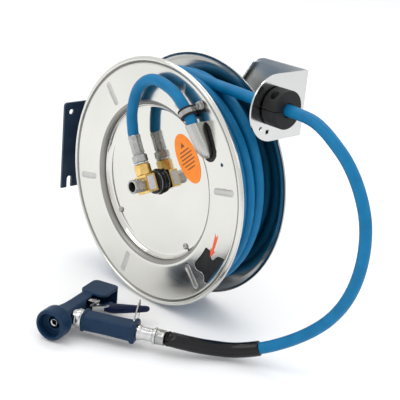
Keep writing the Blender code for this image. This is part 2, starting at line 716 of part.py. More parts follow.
def build_gun(mats):
    swivel = handle_place(112)
    gun = make_axis("gun_axis", swivel)
    origin = swivel
    barrel = gun_place(1, 0, 0) - gun_place(0, 0, 0)
    handle = handle_place(1) - handle_place(0)
    zero = gun_place(0, 0, 0)

    core = make_object("gun_valve_body", *rod(gun_place(-80, 0, 0), gun_place(-20, 0, 0), 8, 16),
                       mats["chrome"], origin, gun)
    join(core, rod(handle_place(2), handle_place(111.5), 9, 16))
    join(core, block((-82, 0.5, 7.1), (-70, 24, 9.6), gun_place))
    join(core, block((-82, 0.5, -9.6), (-70, 24, -7.1), gun_place))
    cut(core, rod(gun_place(-90, 0, 0), gun_place(-62, 0, 0), 4.4, 12))
    pivot = (-76.0, 18.0)
    cut(core, rod(gun_place(*pivot, -15), gun_place(*pivot, 15), 2.8, 12))
    collar = [(9.3, 14), (12.5, 14), (13.0, 20), (14.5, 20.5), (14.5, 27.5), (13.5, 28.5), (9.3, 28.5)]
    shape = turned(collar, handle_place(0), handle, 24)
    make_object("gun_collar", *shape, mats["chrome"], origin, gun)

    stations = [
        (29, 15, 14), (32.5, 15, 14), (33, 13, 12.2), (103, 13.5, 12.6), (103.5, 15.5, 14.6),
        (110, 15.5, 14.6),
    ]
    outlines = [rounded_rectangle(half_u, half_w, 6) for _, half_u, half_w in stations]
    count = len(outlines[0])
    points = []
    for (distance, _, _), outline in zip(stations, outlines):
        points += [handle_place(distance, u, w) for u, w in outline]
    bore = [polar(9.4, 360 * i / count) for i in range(count)]
    for distance in (stations[0][0], stations[-1][0]):
        points += [handle_place(distance, u, w) for u, w in bore]
    faces = []
    for ring in range(len(stations) - 1):
        for step in range(count):
            a, b = ring * count + step, ring * count + (step + 1) % count
            faces.append((a, b, b + count, a + count))
    inner = len(stations) * count
    for step in range(count):
        turn = (step + 1) % count
        faces.append((inner + step, inner + turn, inner + count + turn, inner + count + step))
        faces.append((step, turn, inner + turn, inner + step))
        last = (len(stations) - 1) * count
        faces.append((last + step, last + turn, inner + count + turn, inner + count + step))
    make_object("gun_grip", points, faces, mats["gun"], origin, gun)

    profile = [(8.3, -90), (11.0, -90), (11.6, -45), (13.0, -12.6), (8.3, -12.6)]
    shell = make_object("gun_shell", *turned(profile, zero, barrel, 20), mats["gun"], origin, gun)
    hood = [(u - 108, v + 8) for u, v in rounded_rectangle(22, 22, 8)]
    join(shell, extruded(hood, gun_place, -15, 15))
    cut(shell, block((-124, -8, -11), (-80, 45, 11), gun_place))
    cut(shell, block((-92, -0.2, -10.4), (-66, 45, 10.4), gun_place))
    cut(shell, rod(gun_place(-95, 0, 0), gun_place(-70, 0, 0), 8.3, 20))
    cut(shell, rod(handle_place(0), handle_place(40), 10.5, 20))
    guard = [
        (9.4, -12.2), (20, -12.2), (23.2, -8), (23.2, 11), (21.5, 14), (18.5, 14), (17.5, 11), (17.5, 1),
        (9.4, 1),
    ]
    make_object("nozzle_guard", *turned(guard, zero, barrel, 24), mats["gun"], origin, gun)
    nozzle = [(3.5, -17.6), (8.0, -17.6), (8.0, -12.0), (9.0, -11.8), (9.0, 3), (7, 7), (3.5, 7)]
    make_object("nozzle", *turned(nozzle, zero, barrel, 16), mats["chrome"], origin, gun)

    lever_axis = make_axis("lever_axis", gun_place(*pivot, 0))
    lever_axis.parent = gun
    lever_axis.location = (gun_place(*pivot, 0) * MM) - gun.location
    outline = [
        (-94, -5), (-90, -5), (-86, 8.4), (-72, 12.0), (-67, 20), (-73, 31), (-76, 46), (-111, 88),
        (-114, 89.5), (-118, 86), (-93, 46), (-92, 32), (-86, 22), (-94, 6),
    ]
    shape = extruded(outline, gun_place, -6.5, 6.5, [circle(*pivot, 2.8, 12)])
    lever = make_object("trigger_lever", *shape, mats["gun"], gun_place(*pivot, 0))
    lever.parent = lever_axis
    lever.location = (0, 0, 0)
    cut(lever, block((-100, -10, -2.7), (-84.0, 5.5, 2.7), gun_place))
    shape = rod(gun_place(*pivot, -9.8), gun_place(*pivot, 9.8), 2.5, 12)
    make_object("lever_pin", *shape, mats["steel"], origin, gun)
    profile = [(0, 64), (4.1, 64), (4.1, 68), (1.9, 68), (1.9, 95.5), (4.5, 95.5), (4.5, 99), (0, 99)]
    stem = turned(profile, zero, -barrel, 12)
    make_object("valve_stem", *stem, mats["steel"], origin, gun)
    hinge = (-41.8, 104.0)
    path = [
        (-41.8, 104, 16.1), (-55, 98.5, 16.1), (-85, 86, 15.0), (-108, 76.4, 12.5), (-115, 73.5, 10.5),
        (-117.6, 72.4, 7.0), (-117.9, 72.3, 0), (-117.6, 72.4, -7.0), (-115, 73.5, -10.5),
        (-108, 76.4, -12.5), (-85, 86, -15.0), (-55, 98.5, -16.1), (-41.8, 104, -16.1),
    ]
    wire_axis = make_axis("hold_down_axis", gun_place(*hinge, 0))
    wire_axis.parent = gun
    wire_axis.location = (gun_place(*hinge, 0) * MM) - gun.location
    loop = make_object("hold_down_wire", *wire([gun_place(*p) for p in path], 1.2, 6), mats["steel"],
                       gun_place(*hinge, 0))
    loop.parent = wire_axis
    loop.location = (0, 0, 0)

    start = handle_place(0)
    profile = [
        (5, 112), (11, 112), (11, 116), (9.6, 117), (9.6, 134), (11.4, 135), (11.4, 136.2), (5, 136.2),
    ]
    make_object("swivel_connector", *turned(profile, start, handle, 20), mats["chrome"])
    shape = tube(handle_place(136.5), handle_place(139.6), 5, 12.2, 20)
    make_object("swivel_ring", *shape, mats["chrome"])
    shape = tube(handle_place(139.9), handle_place(152.5), 5, 11.0, 12)
    make_object("hose_ferrule", *shape, mats["steel"])


def build_free_hose(mats):
    """The hose from the winding to the sleeve, and the sleeve to the ferrule, on one smooth line."""
    ends = [tuple(handle_place(165)), tuple(handle_place(157))]
    line = smooth_route(HOSE_ROUTE + SLEEVE_ROUTE + ends, 20) + [handle_place(152.8)]
    joint = Vector(HOSE_ROUTE[-1])
    index = min(range(len(line)), key=lambda i: (line[i] - joint).length)
    spot = line[index]
    way = (line[index + 1] - line[index - 1]).normalized()
    hose_line = line[:index] + [spot - way * 3, spot - way * GAP]
    sleeve_line = [spot + way * GAP, spot + way * 3] + line[index + 1:]
    hose_curve("hose_run", hose_line, HOSE_R, mats["hose"])
    hose_curve("hose_sleeve", sleeve_line, SLEEVE_R, mats["rubber"])


def main():
    remove_all_objects()
    mats = make_materials()
    guide_bolts = build_wall_side(mats)
    build_guide(mats, guide_bolts)
    build_bumper(mats)
    drum = make_axis("drum_axis", (AXLE_X, FRONT_Y, 0))
    build_discs(mats, drum)
    build_ratchet(mats, drum)
    build_axle(mats)
    build_swivel(mats, drum)
    build_gun(mats)
    build_free_hose(mats)


main()
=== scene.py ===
"""Looks of the wash-down hose reel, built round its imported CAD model.

Sizes are in millimetres in the CAD frame: X from the wall, Y from the front disc to the rear disc, Z up.
"""

import json
import math

import bmesh
import bpy
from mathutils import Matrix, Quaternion, Vector
from mathutils.geometry import tessellate_polygon


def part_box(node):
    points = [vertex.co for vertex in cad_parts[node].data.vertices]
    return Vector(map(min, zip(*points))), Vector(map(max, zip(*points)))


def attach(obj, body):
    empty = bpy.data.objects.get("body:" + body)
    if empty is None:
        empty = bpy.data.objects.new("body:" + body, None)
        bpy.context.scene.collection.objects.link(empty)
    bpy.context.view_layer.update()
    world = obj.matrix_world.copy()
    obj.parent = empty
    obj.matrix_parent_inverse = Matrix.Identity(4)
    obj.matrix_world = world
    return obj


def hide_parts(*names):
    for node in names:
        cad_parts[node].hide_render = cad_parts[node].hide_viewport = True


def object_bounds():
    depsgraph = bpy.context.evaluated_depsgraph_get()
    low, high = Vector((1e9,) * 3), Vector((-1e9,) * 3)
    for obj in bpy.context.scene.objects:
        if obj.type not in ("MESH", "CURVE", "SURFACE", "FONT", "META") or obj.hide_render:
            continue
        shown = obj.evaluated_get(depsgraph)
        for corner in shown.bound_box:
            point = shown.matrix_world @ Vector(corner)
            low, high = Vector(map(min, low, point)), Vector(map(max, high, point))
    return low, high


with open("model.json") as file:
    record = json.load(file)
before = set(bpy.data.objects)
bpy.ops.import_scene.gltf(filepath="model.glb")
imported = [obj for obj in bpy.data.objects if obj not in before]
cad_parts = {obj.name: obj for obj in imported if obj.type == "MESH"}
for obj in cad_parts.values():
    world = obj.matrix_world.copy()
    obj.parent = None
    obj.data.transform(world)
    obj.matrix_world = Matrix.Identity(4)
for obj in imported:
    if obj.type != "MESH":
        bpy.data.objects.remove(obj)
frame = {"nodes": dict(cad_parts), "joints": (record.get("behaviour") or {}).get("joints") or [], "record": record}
cad_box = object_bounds()

MM = 0.001
JOINTS = {joint["name"]: joint for joint in frame["joints"]}
SLOT_OF = {row["node"]: row["material_slot"] for row in frame["record"]["subparts"]}


def joint_place(name):
    return Vector(JOINTS[name]["pos_m"]) / MM


def node_box(name):
    low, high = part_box(name)
    return Vector(low) / MM, Vector(high) / MM


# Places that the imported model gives
AXLE = joint_place("drum_spin")
AXLE_X, FRONT_Y = AXLE.x, AXLE.y
REAR_Y = FRONT_Y + 90.0
ARM_Y = node_box("frame_arm")[1].y - 5.0
FACE_X = node_box("guide_bush")[1].x - 3.5
FORWARD = -Vector(JOINTS["valve_slide"]["axis"]).normalized()
UP = Vector((0, 0, 1))
SIDEWAYS = UP.cross(FORWARD)
PIVOT_U, PIVOT_V = -76.0, 18.0
GUN = joint_place("trigger") - FORWARD * PIVOT_U - SIDEWAYS * PIVOT_V
HANDLE = Vector(JOINTS["gun_swivel"]["axis"]).normalized()
HANDLE_END = joint_place("gun_swivel")
HANDLE_LENGTH = 112.0

# Sizes that belong to the looks
HOSE_R = 8.35
SLEEVE_R = 10.8
SHEET = 1.2
RECESS = 14.0
BRANCH_DEG = 120.0
SWIVEL_Y = FRONT_Y - 8.0
GUIDE_Y, GUIDE_Z = -8.6, 159.2
CLAMP_PLACE = Vector((301.4, -70.5, 130.7))
CLAMP_WAY = Vector((0.70, 0.0, -0.714)).normalized()
FINE = 180
MEDIUM = 72
SMALL = 36
MATS = {}

# Centre lines of the free hose, of its sleeve and of the loop on the drum
HOSE_ROUTE = [
    (254.5, -6.4, 163.0), (280.0, -7.0, 162.6), (310.0, -7.6, 162.0), (340.0, -8.0, 161.2),
    (372.0, -8.4, 160.2), (402.0, -8.6, 159.2), (435.0, -9.2, 159.8), (473.0, -10.8, 157.5),
    (498.0, -12.9, 149.4), (519.5, -14.8, 137.5), (540.0, -16.7, 123.9), (558.5, -18.6, 106.2),
    (574.0, -20.0, 84.6), (586.5, -21.3, 58.7), (593.0, -22.8, 30.6), (593.8, -23.8, 0.0),
    (588.8, -24.7, -32.3), (577.8, -26.6, -63.6), (561.0, -29.5, -91.7), (541.0, -35.2, -115.0),
    (517.5, -41.5, -136.0), (495.0, -50.5, -152.2), (479.0, -58.6, -161.5),
]
SLEEVE_ROUTE = [
    (460.0, -69.5, -169.9), (441.5, -81.5, -175.3), (425.0, -96.5, -175.4), (411.0, -113.5, -172.8),
    (396.0, -131.0, -168.6), (378.0, -145.5, -166.1),
]
LOOP_ROUTE = [
    (179.0, -66.6, 95.0), (182.4, -68.2, 114.0), (190.5, -70.0, 136.0), (206.0, -71.2, 153.0),
    (226.0, -71.3, 161.5), (250.0, -71.3, 160.0), (276.0, -71.0, 150.5), (301.4, -70.5, 130.7),
    (316.0, -69.6, 112.0), (322.0, -68.2, 102.5),
]


# Camera, light and floor

def make_camera():
    place = Vector((1.2117, -0.9567, 0.4633))
    aim = Vector((0.2401, 0.0334, -0.0382))
    roll = Quaternion((0, 0, 1), math.radians(5.584))
    data = bpy.data.cameras.new("Camera")
    data.lens = 84.391
    camera = bpy.data.objects.new("Camera", data)
    camera.location = place
    camera.rotation_mode = "QUATERNION"
    camera.rotation_quaternion = (place - aim).to_track_quat("Z", "Y") @ roll
    bpy.context.scene.collection.objects.link(camera)
    bpy.context.scene.camera = camera


def make_light(name, place, aim, width, height, power):
    data = bpy.data.lights.new(name, "AREA")
    data.shape = "RECTANGLE"
    data.size = width
    data.size_y = height
    data.energy = power
    light = bpy.data.objects.new(name, data)
    light.location = place
    light.rotation_mode = "QUATERNION"
    light.rotation_quaternion = (Vector(place) - Vector(aim)).to_track_quat("Z", "Y")
    bpy.context.scene.collection.objects.link(light)


def make_studio():
    world = bpy.data.worlds.new("Studio")
    bpy.context.scene.world = world
    world.use_nodes = True
    world.node_tree.nodes["Background"].inputs["Color"].default_value = (0.985, 0.99, 1.0, 1)
    world.node_tree.nodes["Background"].inputs["Strength"].default_value = 1.0
    middle = (0.3, 0.0, 0.0)
    make_light("Key", (-0.6, -1.6, 2.2), middle, 1.8, 1.8, 16)
    make_light("Fill", (2.3, 0.6, 1.6), middle, 1.4, 1.4, 7)
    make_light("Strip", (-0.5, 0.8, 2.4), middle, 3.0, 0.22, 15)
    low = min(cad_box[0].z, node_box("front_disc")[0].z * MM)
    bpy.ops.mesh.primitive_plane_add(size=30, location=(0.3, 0, low - 0.0015))
    floor = bpy.context.active_object
    floor.name = "floor"
    material = new_material("Floor", (0.97, 0.97, 0.97), 0.0, 0.7)[0]
    floor.data.materials.append(material)
    bpy.context.scene.view_settings.view_transform = "Standard"


# Materials: the colour, gloss and fine relief of each surface come from noise in object space

def new_material(name, colour, metallic, roughness):
    material = bpy.data.materials.new(name)
    material.use_nodes = True
    tree = material.node_tree
    shader = tree.nodes["Principled BSDF"]
    shader.inputs["Base Color"].default_value = (*colour, 1)
    shader.inputs["Metallic"].default_value = metallic
    shader.inputs["Roughness"].default_value = roughness
    return material, tree, shader


def noise(tree, scale, detail=3.0, stretch=(1, 1, 1)):
    place = tree.nodes.new("ShaderNodeTexCoord")
    mapping = tree.nodes.new("ShaderNodeMapping")
    mapping.inputs["Scale"].default_value = stretch
    texture = tree.nodes.new("ShaderNodeTexNoise")
    texture.inputs["Scale"].default_value = scale
    texture.inputs["Detail"].default_value = detail
    tree.links.new(place.outputs["Object"], mapping.inputs["Vector"])
    tree.links.new(mapping.outputs["Vector"], texture.inputs["Vector"])
    return texture.outputs["Fac"]


def vary_value(tree, pattern, low, high, socket):
    spread = tree.nodes.new("ShaderNodeMapRange")
    spread.inputs["From Min"].default_value = 0.3
    spread.inputs["From Max"].default_value = 0.7
    spread.inputs["To Min"].default_value = low
    spread.inputs["To Max"].default_value = high
    tree.links.new(pattern, spread.inputs["Value"])
    tree.links.new(spread.outputs["Result"], socket)


def vary_colour(tree, pattern, first, second, shader):
    ramp = tree.nodes.new("ShaderNodeValToRGB")
    ramp.color_ramp.elements[0].position = 0.32
    ramp.color_ramp.elements[1].position = 0.68
    ramp.color_ramp.elements[0].color = (*first, 1)
    ramp.color_ramp.elements[1].color = (*second, 1)
    tree.links.new(pattern, ramp.inputs["Fac"])
    tree.links.new(ramp.outputs["Color"], shader.inputs["Base Color"])


def relief(tree, patterns, shader):
    """Bumps one on another: each is (pattern, height in mm)."""
    last = None
    for pattern, height in patterns:
        bump = tree.nodes.new("ShaderNodeBump")
        bump.inputs["Distance"].default_value = height * MM
        tree.links.new(pattern, bump.inputs["Height"])
        if last:
            tree.links.new(last, bump.inputs["Normal"])
        last = bump.outputs["Normal"]
    tree.links.new(last, shader.inputs["Normal"])


def varied(name, first, second, metallic, rough, patch, grain, height, specular=0.5):
    """A surface between two colours and two roughnesses, with patches and a fine grain of given scales."""
    material, tree, shader = new_material(name, first, metallic, rough[0])
    patches = noise(tree, patch, 4.0)
    fine = noise(tree, grain, 2.0)
    vary_colour(tree, patches, first, second, shader)
    vary_value(tree, patches, rough[0], rough[1], shader.inputs["Roughness"])
    relief(tree, [(fine, height)], shader)
    shader.inputs["Specular IOR Level"].default_value = specular
    return material


def polished_sheet(name, colour, rough):
    """Cold-rolled stainless sheet, from satin to nearly a mirror, with a faint straight grain."""
    material, tree, shader = new_material(name, colour, 1.0, rough)
    cloudy = noise(tree, 14, 3.0)
    lines = noise(tree, 30, 3.0, (1, 30, 40))
    vary_colour(tree, cloudy, [c * 0.975 for c in colour], [c * 1.02 for c in colour], shader)
    vary_value(tree, lines, rough * 0.85, rough * 1.2, shader.inputs["Roughness"])
    relief(tree, [(lines, 0.004), (noise(tree, 9, 1.0), 0.03)], shader)
    return material


def hose_rubber():
    """Blue hose cover with a faint cloth impression and rubbed patches."""
    first, second = (0.0, 0.132, 0.300), (0.001, 0.162, 0.355)
    material, tree, shader = new_material("HoseBlue", first, 0.0, 0.42)
    vary_colour(tree, noise(tree, 55, 4.0), first, second, shader)
    vary_value(tree, noise(tree, 120, 3.0), 0.36, 0.5, shader.inputs["Roughness"])
    relief(tree, [(noise(tree, 900, 2.0), 0.02), (noise(tree, 60, 1.0), 0.12)], shader)
    shader.inputs["Specular IOR Level"].default_value = 0.22
    return material


def make_materials():
    """Fills MATS: rows hold what polished_sheet and varied take, the metals and then the dull surfaces."""
    sheets = [
        ("disc", "PolishedDisc", (0.665, 0.66, 0.62), 0.19),
        # RearDisc is the front disc's steel made darker: painted shade for the rear disc behind the shaded coils
        ("rear", "RearDisc", (0.46, 0.46, 0.44), 0.15),
        ("mirror", "MirrorPlate", (0.665, 0.66, 0.62), 0.075),
        # FlangeSheet is the guide bracket's own sheet, satin, with a darker faintly bluish colour that is painted
        # shade on the flange
        ("flange", "FlangeSheet", (0.52, 0.535, 0.54), 0.36),
        ("bracket", "GuideSheet", (0.62, 0.625, 0.62), 0.14),
    ]
    metals = [
        # PressedSheet is a darker copy of the disc steel: painted shade for the stamped slot pans and the scoop
        ("pressed", "PressedSheet", (0.45, 0.45, 0.43), (0.51, 0.51, 0.49), (0.24, 0.32), 30, 900, 0.01),
        # RecessWall is a darker copy of the disc steel: painted shade on the recess wall and in the rim bead's
        # groove
        ("wall", "RecessWall", (0.25, 0.25, 0.235), (0.32, 0.315, 0.295), (0.36, 0.46), 24, 900, 0.01),
        ("steel", "TurnedSteel", (0.34, 0.33, 0.32), (0.46, 0.455, 0.44), (0.22, 0.36), 160, 900, 0.02),
        ("zinc", "ZincPlate", (0.34, 0.34, 0.33), (0.46, 0.46, 0.45), (0.16, 0.3), 130, 800, 0.02),
        ("brass", "Brass", (0.66, 0.42, 0.11), (0.83, 0.60, 0.24), (0.14, 0.3), 90, 600, 0.03),
        ("chrome", "Chrome", (0.56, 0.56, 0.56), (0.66, 0.66, 0.655), (0.05, 0.13), 90, 400, 0.01),
    ]
    dull = [
        ("paint", "SlatePaint", (0.016, 0.030, 0.056), (0.024, 0.040, 0.068), (0.3, 0.42), 40, 700, 0.05),
        ("sleeve", "SleeveBlack", (0.003, 0.003, 0.004), (0.006, 0.006, 0.007), (0.10, 0.16), 80, 500, 0.01,
         0.3),
        ("rubber", "BumperRubber", (0.006, 0.006, 0.007), (0.011, 0.011, 0.012), (0.5, 0.66), 90, 1400, 0.05,
         0.25),
        ("cover", "GunCover", (0.003, 0.022, 0.056), (0.006, 0.030, 0.074), (0.36, 0.48), 110, 1500, 0.04,
         0.2),
        ("lever", "LeverCover", (0.001, 0.005, 0.030), (0.003, 0.008, 0.042), (0.3, 0.45), 110, 1200, 0.03,
         0.2),
        ("nylon", "BlackNylon", (0.010, 0.010, 0.011), (0.018, 0.018, 0.019), (0.3, 0.42), 90, 700, 0.04,
         0.25),
        ("orange", "OrangeDecal", (0.90, 0.215, 0.004), (0.95, 0.26, 0.006), (0.38, 0.46), 120, 900, 0.01),
        ("red", "ArrowDecal", (0.76, 0.075, 0.022), (0.86, 0.12, 0.04), (0.35, 0.45), 200, 900, 0.01),
        ("ink", "DecalInk", (0.16, 0.045, 0.008), (0.24, 0.07, 0.012), (0.4, 0.5), 200, 900, 0.01),
        ("label", "PaleLabel", (0.62, 0.64, 0.72), (0.72, 0.73, 0.78), (0.35, 0.45), 200, 900, 0.01),
    ]
    for look, *values in sheets:
        MATS[look] = polished_sheet(*values)
    for metallic, rows in ((1.0, metals), (0.0, dull)):
        for look, name, first, second, *values in rows:
            MATS[look] = varied(name, first, second, metallic, *values)
    MATS["blue"] = hose_rubber()


# Shapes: points in millimetres and faces

def frame_along(axis):
    axis = Vector(axis).normalized()
    across = axis.cross(UP)
    if across.length < 0.1:
        across = axis.cross(Vector((1, 0, 0)))
    across.normalize()
    return axis, across, axis.cross(across)


def turned(profile, centre, axis, segments, form=None):
    """A closed (radius, distance) profile turned about an axis.

    form(radius, distance, angle) may give another radius and distance, for flats, flutes and stamping.
    """
    axis, across, over = frame_along(axis)
    centre = Vector(centre)
    points = []
    rings = []
    for radius, distance in profile:
        count = 1 if radius == 0 else segments
        rings.append((len(points), count))
        for step in range(count):
            angle = 2 * math.pi * step / segments
            side = across * math.cos(angle) + over * math.sin(angle)
            near, far = form(radius, distance, angle) if form and radius else (radius, distance)
            points.append(centre + axis * far + side * near)
    faces = []
    for (first, count), (other, other_count) in zip(rings, rings[1:] + rings[:1]):
        if count == 1 and other_count == 1:
            continue
        for step in range(segments):
            turn = (step + 1) % segments
            corners = [first + step, first + turn, other + turn, other + step]
            if count == 1:
                corners = [first, other + turn, other + step]
            elif other_count == 1:
                corners = [first + step, first + turn, other]
            faces.append(tuple(corners))
    return points, faces


def extruded(outline, place, low, high, holes=()):
    """A flat outline with holes, between two heights; place(u, v, w) gives a world point."""
    loops = [outline, *holes]
    triangles = tessellate_polygon([[Vector((u, v, 0)) for u, v in loop] for loop in loops])
    corners = [p for loop in loops for p in loop]
    count = len(corners)
    points = [place(u, v, low) for u, v in corners] + [place(u, v, high) for u, v in corners]
    faces = [tuple(t) for t in triangles] + [tuple(i + count for i in reversed(t)) for t in triangles]
    first = 0
    for loop in loops:
        for step in range(len(loop)):
            a, b = first + step, first + (step + 1) % len(loop)
            faces.append((a, b, b + count, a + count))
        first += len(loop)
    return points, faces


def block(low, high, place=None):
    put = place or (lambda x, y, z: Vector((x, y, z)))
    outline = [(low[0], low[1]), (high[0], low[1]), (high[0], high[1]), (low[0], high[1])]
    return extruded(outline, put, low[2], high[2])


def rod(start, end, radius, segments=SMALL):
    axis = Vector(end) - Vector(start)
    profile = [(0, 0), (radius, 0), (radius, axis.length), (0, axis.length)]
    return turned(profile, start, axis, segments)


def merged(*shapes):
    points = []
    faces = []
    for more_points, more_faces in shapes:
        start = len(points)
        points += more_points
        faces += [tuple(i + start for i in face) for face in more_faces]
    return points, faces


def circle(u, v, radius, segments=SMALL):
    steps = [2 * math.pi * i / segments for i in range(segments)]
    return [(u + radius * math.cos(a), v + radius * math.sin(a)) for a in steps]


def arc(u, v, radius, start_deg, end_deg, steps):
    angles = [math.radians(start_deg + (end_deg - start_deg) * i / steps) for i in range(steps + 1)]
    return [(u + radius * math.cos(a), v + radius * math.sin(a)) for a in angles]


def rounded(outline, radius, steps=4):
    """The closed outline with each corner turned into a short curve; corners on a lathe's axis stay."""
    found = []
    for before, here, after in zip(outline[-1:] + outline[:-1], outline, outline[1:] + outline[:1]):
        corner = Vector(here)
        back, on = Vector(before) - corner, Vector(after) - corner
        reach = min(radius, back.length * 0.45, on.length * 0.45)
        if here[0] == 0 or reach == 0:
            found.append(tuple(here))
            continue
        start, end = corner + back.normalized() * reach, corner + on.normalized() * reach
        for step in range(steps + 1):
            t = step / steps
            found.append(tuple(start * (1 - t) ** 2 + corner * 2 * t * (1 - t) + end * t * t))
    return found


def rounded_rectangle(half_u, half_v, radius, steps=6):
    outline = []
    for sign_u, sign_v, start in ((1, 1, 0), (-1, 1, 90), (-1, -1, 180), (1, -1, 270)):
        centre = (sign_u * (half_u - radius), sign_v * (half_v - radius))
        outline += arc(*centre, radius, start, start + 90, steps)
    return outline


def lofted(rings, closed_ends=True):
    """A skin through rings of the same number of points."""
    count = len(rings[0])
    points = [p for ring in rings for p in ring]
    faces = []
    for low in range(len(rings) - 1):
        for step in range(count):
            a, b = low * count + step, low * count + (step + 1) % count
            faces.append((a, b, b + count, a + count))
    if closed_ends:
        faces.append(tuple(range(count)))
        faces.append(tuple(range(len(points) - 1, len(points) - count - 1, -1)))
    return points, faces


def swept(path, radius_at, sides=24):
    """A round tube along points, its radius given by the share of the way along."""
    path = [Vector(p) for p in path]
    rings = []
    normal = None
    for index, here in enumerate(path):
        tangent = (path[min(index + 1, len(path) - 1)] - path[max(index - 1, 0)]).normalized()
        if normal is None:
            normal = frame_along(tangent)[1]
        normal = (normal - tangent * normal.dot(tangent)).normalized()
        side = tangent.cross(normal)
        radius = radius_at(index / (len(path) - 1))
        angles = [2 * math.pi * step / sides for step in range(sides)]
        rings.append([here + (normal * math.cos(a) + side * math.sin(a)) * radius for a in angles])
    return lofted(rings)


def smooth_route(points, spacing):
    """Points every spacing mm along a Catmull-Rom curve through the given points."""
    points = [Vector(p) for p in points]
    padded = [points[0] * 2 - points[1], *points, points[-1] * 2 - points[-2]]
    dense = []
    for a, b, c, d in zip(padded, padded[1:], padded[2:], padded[3:]):
        for step in range(24):
            t = step / 24
            dense.append(0.5 * (2 * b + (c - a) * t + (2 * a - 5 * b + 4 * c - d) * t * t
                                + (3 * b - a - 3 * c + d) * t * t * t))
    dense.append(points[-1])
    total = route_length(dense)
    count = max(2, round(total / spacing))
    found = []
    walked = 0.0
    index = 0
    for distance in [total * i / count for i in range(count + 1)]:
        while index < len(dense) - 2 and walked + (dense[index + 1] - dense[index]).length < distance:
            walked += (dense[index + 1] - dense[index]).length
            index += 1
        step = dense[index + 1] - dense[index]
        found.append(dense[index] + step * min(1.0, (distance - walked) / step.length))
    return found


def route_length(route):
    return sum((q - p).length for p, q in zip(route, route[1:]))


def nut(flats, bore, first, last, centre, axis):
    """A hexagon nut or bolt head with chamfered corners, flats mm across its flats."""
    length = last - first
    stops = [0, 0.25, 0.6, 1.0, 1.5, length / 2, length - 1.5, length - 1.0, length - 0.6, length - 0.25,
             length]
    corner = flats / math.sqrt(3)
    profile = [(bore, first)] + [(corner, first + s) for s in sorted(stops)] + [(bore, last)]

    def form(radius, distance, angle):
        if radius == bore:
            return radius, distance
        sixth = math.radians(60)
        flat = flats / 2 / math.cos((angle + sixth / 2) % sixth - sixth / 2)
        cone = flats * 0.475 + 1.7 * min(distance - first, last - distance)
        return min(radius, flat, cone), distance

    return turned(profile, centre, axis, MEDIUM, form)


def threaded(profile, centre, axis, first, last, radius, pitch, depth):
    """A turned profile with a screw thread on its outside between two distances."""
    count = int((last - first) / pitch * 5)
    stops = [(radius, first + (last - first) * i / count) for i in range(count + 1)]
    before = [p for p in profile if p[1] <= first]
    after = [p for p in profile if p[1] >= last]

    def form(near, distance, angle):
        if near != radius or not first <= distance <= last:
            return near, distance
        turn = (distance / pitch + angle / (2 * math.pi)) % 1
        return near - depth * abs(2 * turn - 1), distance

    return turned(before + stops + after, centre, axis, MEDIUM, form)


# Pieces

def mesh_object(name, shape):
    points, faces = shape
    mesh = bpy.data.meshes.new(name)
    mesh.from_pydata([Vector(p) * MM for p in points], [], faces)
    work = bmesh.new()
    work.from_mesh(mesh)
    bmesh.ops.recalc_face_normals(work, faces=work.faces)
    work.to_mesh(mesh)
    work.free()
    obj = bpy.data.objects.new(name, mesh)
    bpy.context.scene.collection.objects.link(obj)
    return obj


def bake(obj):
    """Turns the object's modifiers into its mesh."""
    graph = bpy.context.evaluated_depsgraph_get()
    mesh = bpy.data.meshes.new_from_object(obj.evaluated_get(graph))
    obj.modifiers.clear()
    obj.data = mesh


def combine(obj, shape, operation):
    helper = mesh_object("helper", shape)
    boolean = obj.modifiers.new("Boolean", "BOOLEAN")
    boolean.operation = operation
    boolean.solver = "EXACT"
    boolean.object = helper
    bake(obj)
    bpy.data.objects.remove(helper)


def dress(obj, look, body, nodes):
    """Look, body and CAD nodes of a finished piece."""
    obj.data.materials.clear()
    obj.data.materials.append(MATS[look])
    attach(obj, body)
    if nodes:
        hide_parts(*nodes)
    return obj


def piece(name, shape, look, body, nodes=(), bevel=0.0, joins=(), cuts=(), voxel=0.0, melt=4):
    """A piece that rides on a body and stands for CAD nodes.

    bevel rounds its sharp edges; voxel melts its joined shapes into one soft skin instead.
    """
    obj = mesh_object(name, shape)
    for other in joins:
        combine(obj, other, "UNION")
    for other in cuts:
        combine(obj, other, "DIFFERENCE")
    if voxel:
        remesh = obj.modifiers.new("Remesh", "REMESH")
        remesh.mode = "VOXEL"
        remesh.voxel_size = voxel * MM
        soften = obj.modifiers.new("Smooth", "SMOOTH")
        soften.iterations = melt
        bake(obj)
    obj.data.shade_smooth()
    if bevel:
        edge = obj.modifiers.new("Bevel", "BEVEL")
        edge.width = bevel * MM
        edge.segments = 3
        edge.limit_method = "ANGLE"
        edge.angle_limit = math.radians(35)
    if not voxel:
        obj.modifiers.new("WeightedNormal", "WEIGHTED_NORMAL")
    return dress(obj, look, body, nodes)


def curve_piece(name, route, radius, look, body, nodes=()):
    """A round hose as one poly spline with filled ends."""
    curve = bpy.data.curves.new(name, "CURVE")
    curve.dimensions = "3D"
    curve.bevel_depth = radius * MM
    curve.bevel_resolution = 7
    curve.use_fill_caps = True
    spline = curve.splines.new("POLY")
    spline.points.add(len(route) - 1)
    for point, place in zip(spline.points, route):
        point.co = (*(Vector(place) * MM), 1.0)
    obj = bpy.data.objects.new(name, curve)
    bpy.context.scene.collection.objects.link(obj)
    spline.use_smooth = True
    return dress(obj, look, body, nodes)


# Places

def on_disc(a, z, y):
    return Vector((AXLE_X + a, y, z))


def on_wall(y, z, x):
    return Vector((x, y, z))


def polar(radius, degrees):
    angle = math.radians(degrees)
    return radius * math.cos(angle), radius * math.sin(angle)


def about_axle(profile, plane_y, segments=FINE, form=None):
    return turned(profile, (AXLE_X, plane_y, 0), (0, 1, 0), segments, form)


def gun_place(u, v, w):
    """Gun coordinates: u forward along the FORWARD, v towards the handle, w up."""
    return GUN + FORWARD * u + SIDEWAYS * v + UP * w


